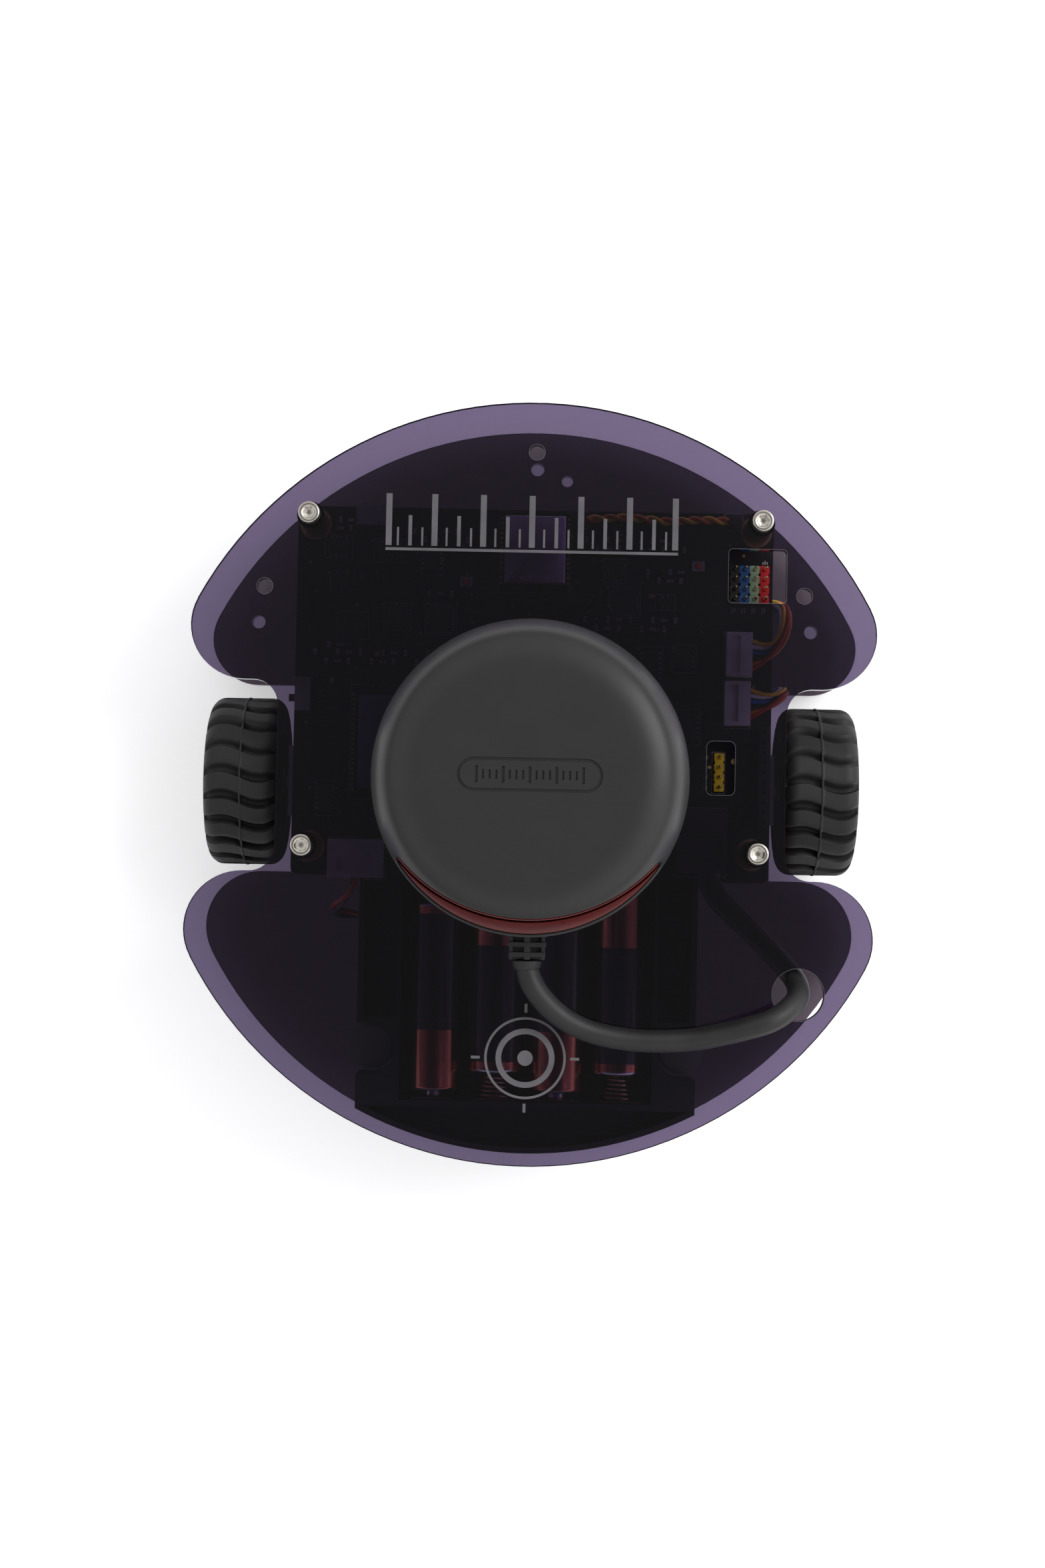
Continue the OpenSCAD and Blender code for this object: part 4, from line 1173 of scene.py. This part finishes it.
def build_pads(bm):
    """Gold rings round the column holes, test points and vias, on both faces."""
    rng = random.Random(5)
    columns = [((low.x + high.x) / 2, (low.y + high.y) / 2)
               for low, high in solids_of("lower_standoffs")]
    rings = [(x, y, 3.4, 4.1) for x, y in columns]
    low, high = box_mm("main_board")
    for _ in range(130):
        rings.append((rng.uniform(low.x + 3, high.x - 3), rng.uniform(low.y + 3, high.y - 3),
                      0.16, 0.36))
    for _ in range(16):
        rings.append((rng.uniform(low.x + 8, high.x - 8), rng.uniform(low.y + 8, high.y - 8),
                      0.02, 0.75))
    for x, y, inner, outer in rings:
        steps = 48 if outer > 1 else 14
        for z0, z1 in ((BOARD_TOP, BOARD_TOP + 0.03), (BOARD_LOW - 0.03, BOARD_LOW)):
            loops = [arc_points(x, y, r, 0, 360 - 360 / steps, steps - 1) for r in (inner, outer)]
            ring_strip(bm, *loops, z0, z1)


def trace(bm, points, width, z_low, z_high):
    """A flat copper track with mitred bends."""
    left, right = [], []
    for i, (x, y) in enumerate(points):
        before = Vector(points[max(i - 1, 0)])
        after = Vector(points[min(i + 1, len(points) - 1)])
        way = (after - before).normalized()
        normal = Vector((-way.y, way.x)) * width / 2
        left.append((x + normal.x, y + normal.y))
        right.append((x - normal.x, y - normal.y))
    prism(bm, left + right[::-1], z_low, z_high)


def build_traces(bm):
    """Bunches of tracks that bend by 45 degrees, on both faces of the board."""
    rng = random.Random(9)
    low, high = box_mm("main_board")
    for bunch in range(46):
        x = rng.uniform(low.x + 4, high.x - 26)
        y = rng.uniform(low.y + 4, high.y - 16)
        count = rng.randint(2, 6)
        first, last = rng.uniform(5, 16), rng.uniform(4, 14)
        rise = rng.uniform(2, 8) * rng.choice(SIDES)
        upright = rng.random() < 0.4
        z = (BOARD_TOP, BOARD_TOP + 0.022) if bunch % 2 else (BOARD_LOW - 0.022, BOARD_LOW)
        for k in range(count):
            step = k * 0.55
            lean = step * 0.41 * (1 if rise < 0 else -1)
            run = [(0, step), (first + lean, step), (first + lean + abs(rise), step + rise),
                   (first + last + abs(rise), step + rise)]
            if upright:
                run = [(b, a) for a, b in run]
            run = [(min(max(x + a, low.x + 1), high.x - 1), min(max(y + b, low.y + 1), high.y - 1))
                   for a, b in run]
            trace(bm, run, 0.22, *z)


def build_board_print(bm):
    """Generic silk screen: outlines round the parts and ticks beside the connectors."""
    z0, z1 = BOARD_TOP, BOARD_TOP + 0.025

    def frame_line(x, y, w, d, line=0.13):
        inner = [(x - w / 2, y - d / 2), (x + w / 2, y + d / 2)]
        ring_strip(bm, rounded_outline(*inner, 0.15, 2),
                   rounded_outline((inner[0][0] - line, inner[0][1] - line),
                                   (inner[1][0] + line, inner[1][1] + line), 0.25, 2), z0, z1)

    for box in solids_of("chips"):
        x, y, w, d, *_ = flat_box(box)
        frame_line(x, y, w + 0.9, d + 0.9)
        lathe(bm, [(0, z0), (0.2, z0), (0.2, z1), (0, z1)], 12, at(x - w / 2 - 0.9, y + d / 2, 0))
    for node in ("core_module", "driver_module", "lidar_socket", "battery_connector",
                 "debug_header", "usb_socket"):
        x, y, w, d, *_ = flat_box(box_mm(node))
        frame_line(x, y, w + 0.7, d + 0.7)
    for box in solids_of("motor_plugs"):
        x, y, w, d, *_ = flat_box(box)
        frame_line(x, y, w + 0.7, d + 0.7)
    low, high = box_mm("debug_header")
    for k in range(4):
        y = (low.y + high.y) / 2 + (k - 1.5) * 2.54
        block(bm, (low.x - 1.9, y - 0.5, z0), (low.x - 1.5, y + 0.5, z1))
        block(bm, (low.x - 2.7, y - 0.5, z0), (low.x - 2.4, y + 0.1, z1))
    low = box_mm("servo_header_black")[0]
    high = box_mm("servo_header_red")[1]
    for k in range(4):
        x = low.x + 1.25 + k * 2.54
        block(bm, (x - 0.5, low.y - 2.6, z0), (x - 0.2, low.y - 0.9, z1))
        block(bm, (x + 0.1, low.y - 2.2, z0), (x + 0.4, low.y - 0.9, z1))
    for k in range(3):
        block(bm, (high.x - 1.6 + k * 0.55, high.y + 0.6, z0),
              (high.x - 1.35 + k * 0.55, high.y + 1.3 + (k % 2) * 0.3, z1))


def build_module_board(bm, node, base):
    """A small board under the module, as one block; its plated half holes show as the pads that
    build_module_pads draws round its edge.
    """
    low, high = box_mm(node)
    block(bm, low, (high.x, high.y, low.z + base))


def build_module_pads(bm, node, base):
    low, high = box_mm(node)
    for x_side in SIDES:
        edge = high.x if x_side > 0 else low.x
        count = int((high.y - low.y - 2) / 1.27)
        for k in range(count):
            y = (low.y + high.y) / 2 + (k - (count - 1) / 2) * 1.27
            block(bm, (edge - 0.7 if x_side > 0 else edge - 0.04, y - 0.38, low.z),
                  (edge + 0.04 if x_side > 0 else edge + 0.7, y + 0.38, low.z + base + 0.03))


def build_can(bm, node, base, inset, holes):
    """A pressed shielding can with a stepped lid and rows of small dimples."""
    low, high = box_mm(node)
    corner = Vector((inset, inset * 1.4))
    a = Vector((low.x, low.y)) + corner
    b = Vector((high.x, high.y)) - corner
    outlines = [(0, low.z + base, 0.5), (0, high.z - 0.35, 0.5), (0.12, high.z - 0.12, 0.5),
                (0.35, high.z, 0.4)]
    rings = []
    for shrink, z, radius in outlines:
        outline = rounded_outline((a.x + shrink, a.y + shrink), (b.x - shrink, b.y - shrink),
                                  radius, 4)
        rings.append([bm.verts.new((x, y, z)) for x, y in outline])
    for near, far in zip(rings, rings[1:]):
        join_rings(bm, near, far)
    bm.faces.new(rings[0][::-1])
    bm.faces.new(rings[-1])
    for k in range(holes):
        x = a.x + (b.x - a.x) * (k + 1) / (holes + 1)
        for y in (a.y + 1.6, b.y - 1.6):
            lathe(bm, [(0, high.z - 0.02), (0.42, high.z - 0.02), (0.42, high.z + 0.035),
                       (0.3, high.z + 0.06), (0.2, high.z + 0.02), (0, high.z + 0.01)], 16,
                  at(x, y, 0))


def make_board():
    paint = MATERIALS
    pieces = [
        ("chip_packages", paint["package"], build_packages, "package", 0.1, ["chips"]),
        ("chip_legs", EXTRA["solder"], build_legs, "package", None, []),
        ("small_part_bodies", paint["small_part"], build_small_bodies, "small_part", None,
         ["passives"]),
        ("small_part_terminals", EXTRA["solder"], build_terminals, "small_part", None, []),
        ("pins", paint["pin"], build_pins, "pin", None, ["header_pins"]),
        ("led_domes", paint["led"], build_leds, "led", None, ["status_leds"]),
        ("led_frames", EXTRA["board_print"], build_led_frames, "led", None, []),
        ("solder_joints", EXTRA["solder"], build_solder_joints, "pin", None, []),
        ("board_pads", EXTRA["gold_pad"], build_pads, "board", None, []),
        ("board_traces", EXTRA["trace"], build_traces, "board", None, []),
        ("board_print", EXTRA["board_print"], build_board_print, "board", None, []),
    ]
    for name, finish, build, slot, bevel, nodes in pieces:
        piece = mesh_piece(name, "chassis", finish, build, bevel=bevel)
        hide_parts(*nodes)
    modules = (("core_module", 1.0, 1.1, 6, "shield"), ("driver_module", 1.2, 1.7, 9, "module"))
    for node, base, inset, holes, slot in modules:
        can = mesh_piece(f"{node}_can", "chassis", paint[slot],
                         lambda bm: build_can(bm, node, base, inset, holes))
        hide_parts(node)
        mesh_piece(f"{node}_board", "chassis", paint["board"],
                   lambda bm: build_module_board(bm, node, base), bevel=0.08)
        mesh_piece(f"{node}_pads", "chassis", EXTRA["gold_pad"],
                   lambda bm: build_module_pads(bm, node, base))


# ---------- battery ----------

def cell_facts(number):
    """Axis x and z, radius, flat end and nub end along Y of a cell."""
    low, high = box_mm(f"battery_cell_{number}")
    ends = (high.y, low.y) if number % 2 else (low.y, high.y)
    return (low.x + high.x) / 2, (low.z + high.z) / 2, (high.x - low.x) / 2, *ends


def build_cell(bm, number):
    x, z, radius, flat, nub = cell_facts(number)
    length = abs(nub - flat)
    turn = at(x, flat, z) @ ALONG_Y @ Matrix.Diagonal((1, 1, 1 if nub > flat else -1, 1))
    r = radius
    profile = [(0, 0.1), (r * 0.6, 0.1), (r * 0.64, 0.0), (r * 0.76, 0.0), (r * 0.8, 0.35),
               (r * 0.9, 0.4), (r * 0.975, 0.55), (r, 0.95), (r, 1.15), (r * 0.994, 1.3),
               (r * 0.994, length - 2.9), (r, length - 2.7), (r, length - 2.3),
               (r * 0.97, length - 1.95), (r * 0.88, length - 1.75), (r * 0.74, length - 1.7),
               (r * 0.72, length - 1.5), (r * 0.45, length - 1.45), (r * 0.38, length - 1.3),
               (r * 0.375, length - 0.3), (r * 0.33, length), (0, length)]
    lathe(bm, profile, 72, turn)


CONTACT_T = 0.5
SPRING_TURNS = 5
SPRING_WIRE = 0.7


def build_contacts(bm):
    low, high = box_mm("battery_contacts")
    for number in range(1, 5):
        x, z, _, flat, nub = cell_facts(number)
        half = (high.z - low.z) / 2
        for y in (low.y, high.y - CONTACT_T):
            block(bm, (x - half, y, z - half), (x + half, y + CONTACT_T, z + half))
        plate = low.y + CONTACT_T if nub < flat else high.y - CONTACT_T
        way = 1 if nub < flat else -1
        turn = at(x, plate, z) @ ALONG_Y @ Matrix.Diagonal((1, 1, way, 1))
        room = abs(nub - plate)
        lathe(bm, [(0, -0.02), (3.2, -0.02), (2.6, room * 0.4), (1.6, room * 0.7),
                   (0, room * 0.75)], 32, turn)


def battery_springs():
    low, high = box_mm("battery_contacts")
    for number in range(1, 5):
        x, z, _, flat, nub = cell_facts(number)
        plate = high.y - CONTACT_T if flat > nub else low.y + CONTACT_T
        way = 1 if flat < plate else -1
        room = abs(flat - plate) - SPRING_WIRE
        points = []
        steps = 20 * SPRING_TURNS
        for k in range(steps + 1):
            t = k / steps
            angle = 2 * math.pi * SPRING_TURNS * t
            radius = 4.8 - 1.9 * t
            rise = SPRING_WIRE / 2 + room * t
            points.append(Vector((x + radius * math.cos(angle), plate - way * rise,
                                  z + radius * math.sin(angle))))
        wire(f"battery_spring_{number}", points, SPRING_WIRE, MATERIALS["contact"])


def make_battery():
    for number in range(1, 5):
        _, _, _, flat, nub = cell_facts(number)
        skin = cell_material(f"battery_cell_{number}", flat * MM, nub * MM)
        cell = mesh_piece(f"cell_{number}", "chassis", skin,
                          lambda bm, n=number: build_cell(bm, n), 40)
        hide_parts(f"battery_cell_{number}")
    plates = mesh_piece("battery_plates", "chassis", MATERIALS["contact"], build_contacts,
                        bevel=0.12)
    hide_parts("battery_contacts")
    battery_springs()


# ---------- drive ----------

def build_gear(bm, place, radius, teeth, width):
    """A spur gear about local z, from z 0."""
    outline = []
    for k in range(teeth):
        for share, reach in ((0.0, -0.16), (0.24, -0.16), (0.34, 0.14), (0.6, 0.14), (0.7, -0.16)):
            a = 2 * math.pi * (k + share) / teeth
            outline.append(((radius + reach) * math.cos(a), (radius + reach) * math.sin(a)))
    prism(bm, outline, 0, width, place)


def build_gearbox(bm, side):
    """Three plates on four pillars, as on small open gear motors."""
    low, high = box_mm("right_gearbox")
    y, z = high.y, (high.z - low.z) / 2
    middle = (high.z + low.z) / 2
    outline = rounded_outline((-z, -y), (z, y), 0.8, 4)
    turn = at(0, 0, middle) @ ALONG_X
    for start, thick in ((low.x, 1.6), (low.x + 4.6, 0.8), (high.x - 1.6, 1.6)):
        x = side * start if side > 0 else side * (start + thick)
        prism(bm, outline, 0, thick, at(x, 0, 0) @ turn)
    for dy, dz in CORNERS:
        x = low.x if side > 0 else -high.x
        lathe(bm, [(0, 0.2), (0.85, 0.2), (0.85, high.x - low.x - 0.2), (0, high.x - low.x - 0.2)],
              24, at(x, dy * (y - 1.3), dz * (z - 1.3)) @ turn)


def build_gears(bm, side):
    """The reduction gears that show between the plates."""
    low, high = box_mm("right_gearbox")
    middle = (high.z + low.z) / 2
    train = [(low.x + 1.9, 0.9, -2.5, 1.6, 14), (low.x + 3.2, 1.2, 1.3, 2.3, 20),
             (low.x + 5.7, 0.9, -2.2, 1.8, 16), (low.x + 2.0, 1.0, 3.0, 1.6, 14)]
    for start, width, dy, radius, teeth in train:
        x = side * start if side > 0 else side * (start + width)
        build_gear(bm, at(x, dy, middle) @ ALONG_X, radius, teeth, width)


def build_motor_cap(bm, side):
    """The motor's plastic end cap with its two terminals."""
    low, high = box_mm("right_motor")
    middle = (high.z + low.z) / 2
    turn = at(side * (low.x + 1.25), 0, middle) @ ALONG_X @ Matrix.Diagonal((1, 1, side, 1))
    lathe(bm, [(0, -0.05), (4.9, -0.05), (4.7, -0.35), (2.7, -0.4), (2.5, -0.9), (0, -0.9)], 48,
          turn)
    for s in SIDES:
        block(bm, (3.1, s * 1.6 - 0.5, -0.9), (3.4, s * 1.6 + 0.5, 0.05), turn)


def build_magnet(bm, side):
    """The encoder's ring magnet with its hub and a sensing groove."""
    low, high = box_mm("right_encoder_disc")
    middle = (high.z + low.z) / 2
    radius = (high.z - low.z) / 2
    turn = at(side * low.x, 0, middle) @ ALONG_X @ Matrix.Diagonal((1, 1, side, 1))
    profile = [(0, 0.5), (1.2, 0.5), (1.35, 0), (radius - 0.3, 0), (radius, 0.3), (radius, 1.4),
               (radius - 0.12, 1.5), (radius - 0.12, 1.7), (radius, 1.8), (radius, 2.9),
               (radius - 0.3, 3.2), (0.5, 3.2), (0.5, high.x - low.x), (0, high.x - low.x)]
    lathe(bm, profile, 64, turn)


def build_encoder_parts(bm, side):
    """Sensor chips, resistors and connector pins on the encoder board."""
    low, high = box_mm("right_encoder_board")
    face = high.x
    middle = (high.z + low.z) / 2
    for y, z, w, h, t in ((-3.6, 3.2, 1.6, 2.4, 0.6), (3.4, -3.4, 1.6, 2.4, 0.6),
                          (-4.6, -3.2, 0.8, 1.5, 0.4), (-2.8, -3.9, 0.8, 1.5, 0.4),
                          (5.0, 3.8, 1.5, 0.8, 0.4)):
        x0, x1 = sorted((side * face, side * (face - t - 1.0)))
        block(bm, (x0, y - w / 2, middle + z - h / 2), (x1, y + w / 2, middle + z + h / 2))


def make_drive():
    for side, name in zip(SIDES, ("left", "right")):
        box = mesh_piece(f"{name}_gear_plates", "chassis", MATERIALS["gearbox"],
                         lambda bm: build_gearbox(bm, side), bevel=0.1)
        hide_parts(f"{name}_gearbox")
        mesh_piece(f"{name}_gears", "chassis", MATERIALS["gearbox"],
                   lambda bm: build_gears(bm, side))
        mesh_piece(f"{name}_motor_cap", "chassis", MATERIALS["header_black"],
                   lambda bm: build_motor_cap(bm, side))
        magnet = mesh_piece(f"{name}_magnet", f"{name}_encoder", MATERIALS["magnet"],
                            lambda bm: build_magnet(bm, side))
        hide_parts(f"{name}_encoder_disc")
        mesh_piece(f"{name}_encoder_parts", "chassis", MATERIALS["package"],
                   lambda bm: build_encoder_parts(bm, side), bevel=0.08)


# ---------- the whole scene ----------

def wear(node, paint):
    """Gives a CAD node its looks."""
    cad = NODES[node]
    for slot in cad.material_slots:
        slot.material = paint
    if not cad.material_slots:
        cad.data.materials.append(paint)


def dress_cad_nodes():
    for part in frame["record"]["subparts"]:
        if part["material_slot"] in MATERIALS:
            wear(part["node"], MATERIALS[part["material_slot"]])
    # the bottom plate gets the darker tint that paints in the shade under the decks
    wear("bottom_plate", EXTRA["lower_acrylic_painted_shade"])


make_camera()
scanner_cable()
make_world()
make_floor()
make_key_light()
dress_cad_nodes()
make_scanner()
make_wheels()
make_screws()
make_deck_marks()
make_leads()
make_board()
make_battery()
make_drive()

bpy.context.scene.view_settings.view_transform = "Standard"
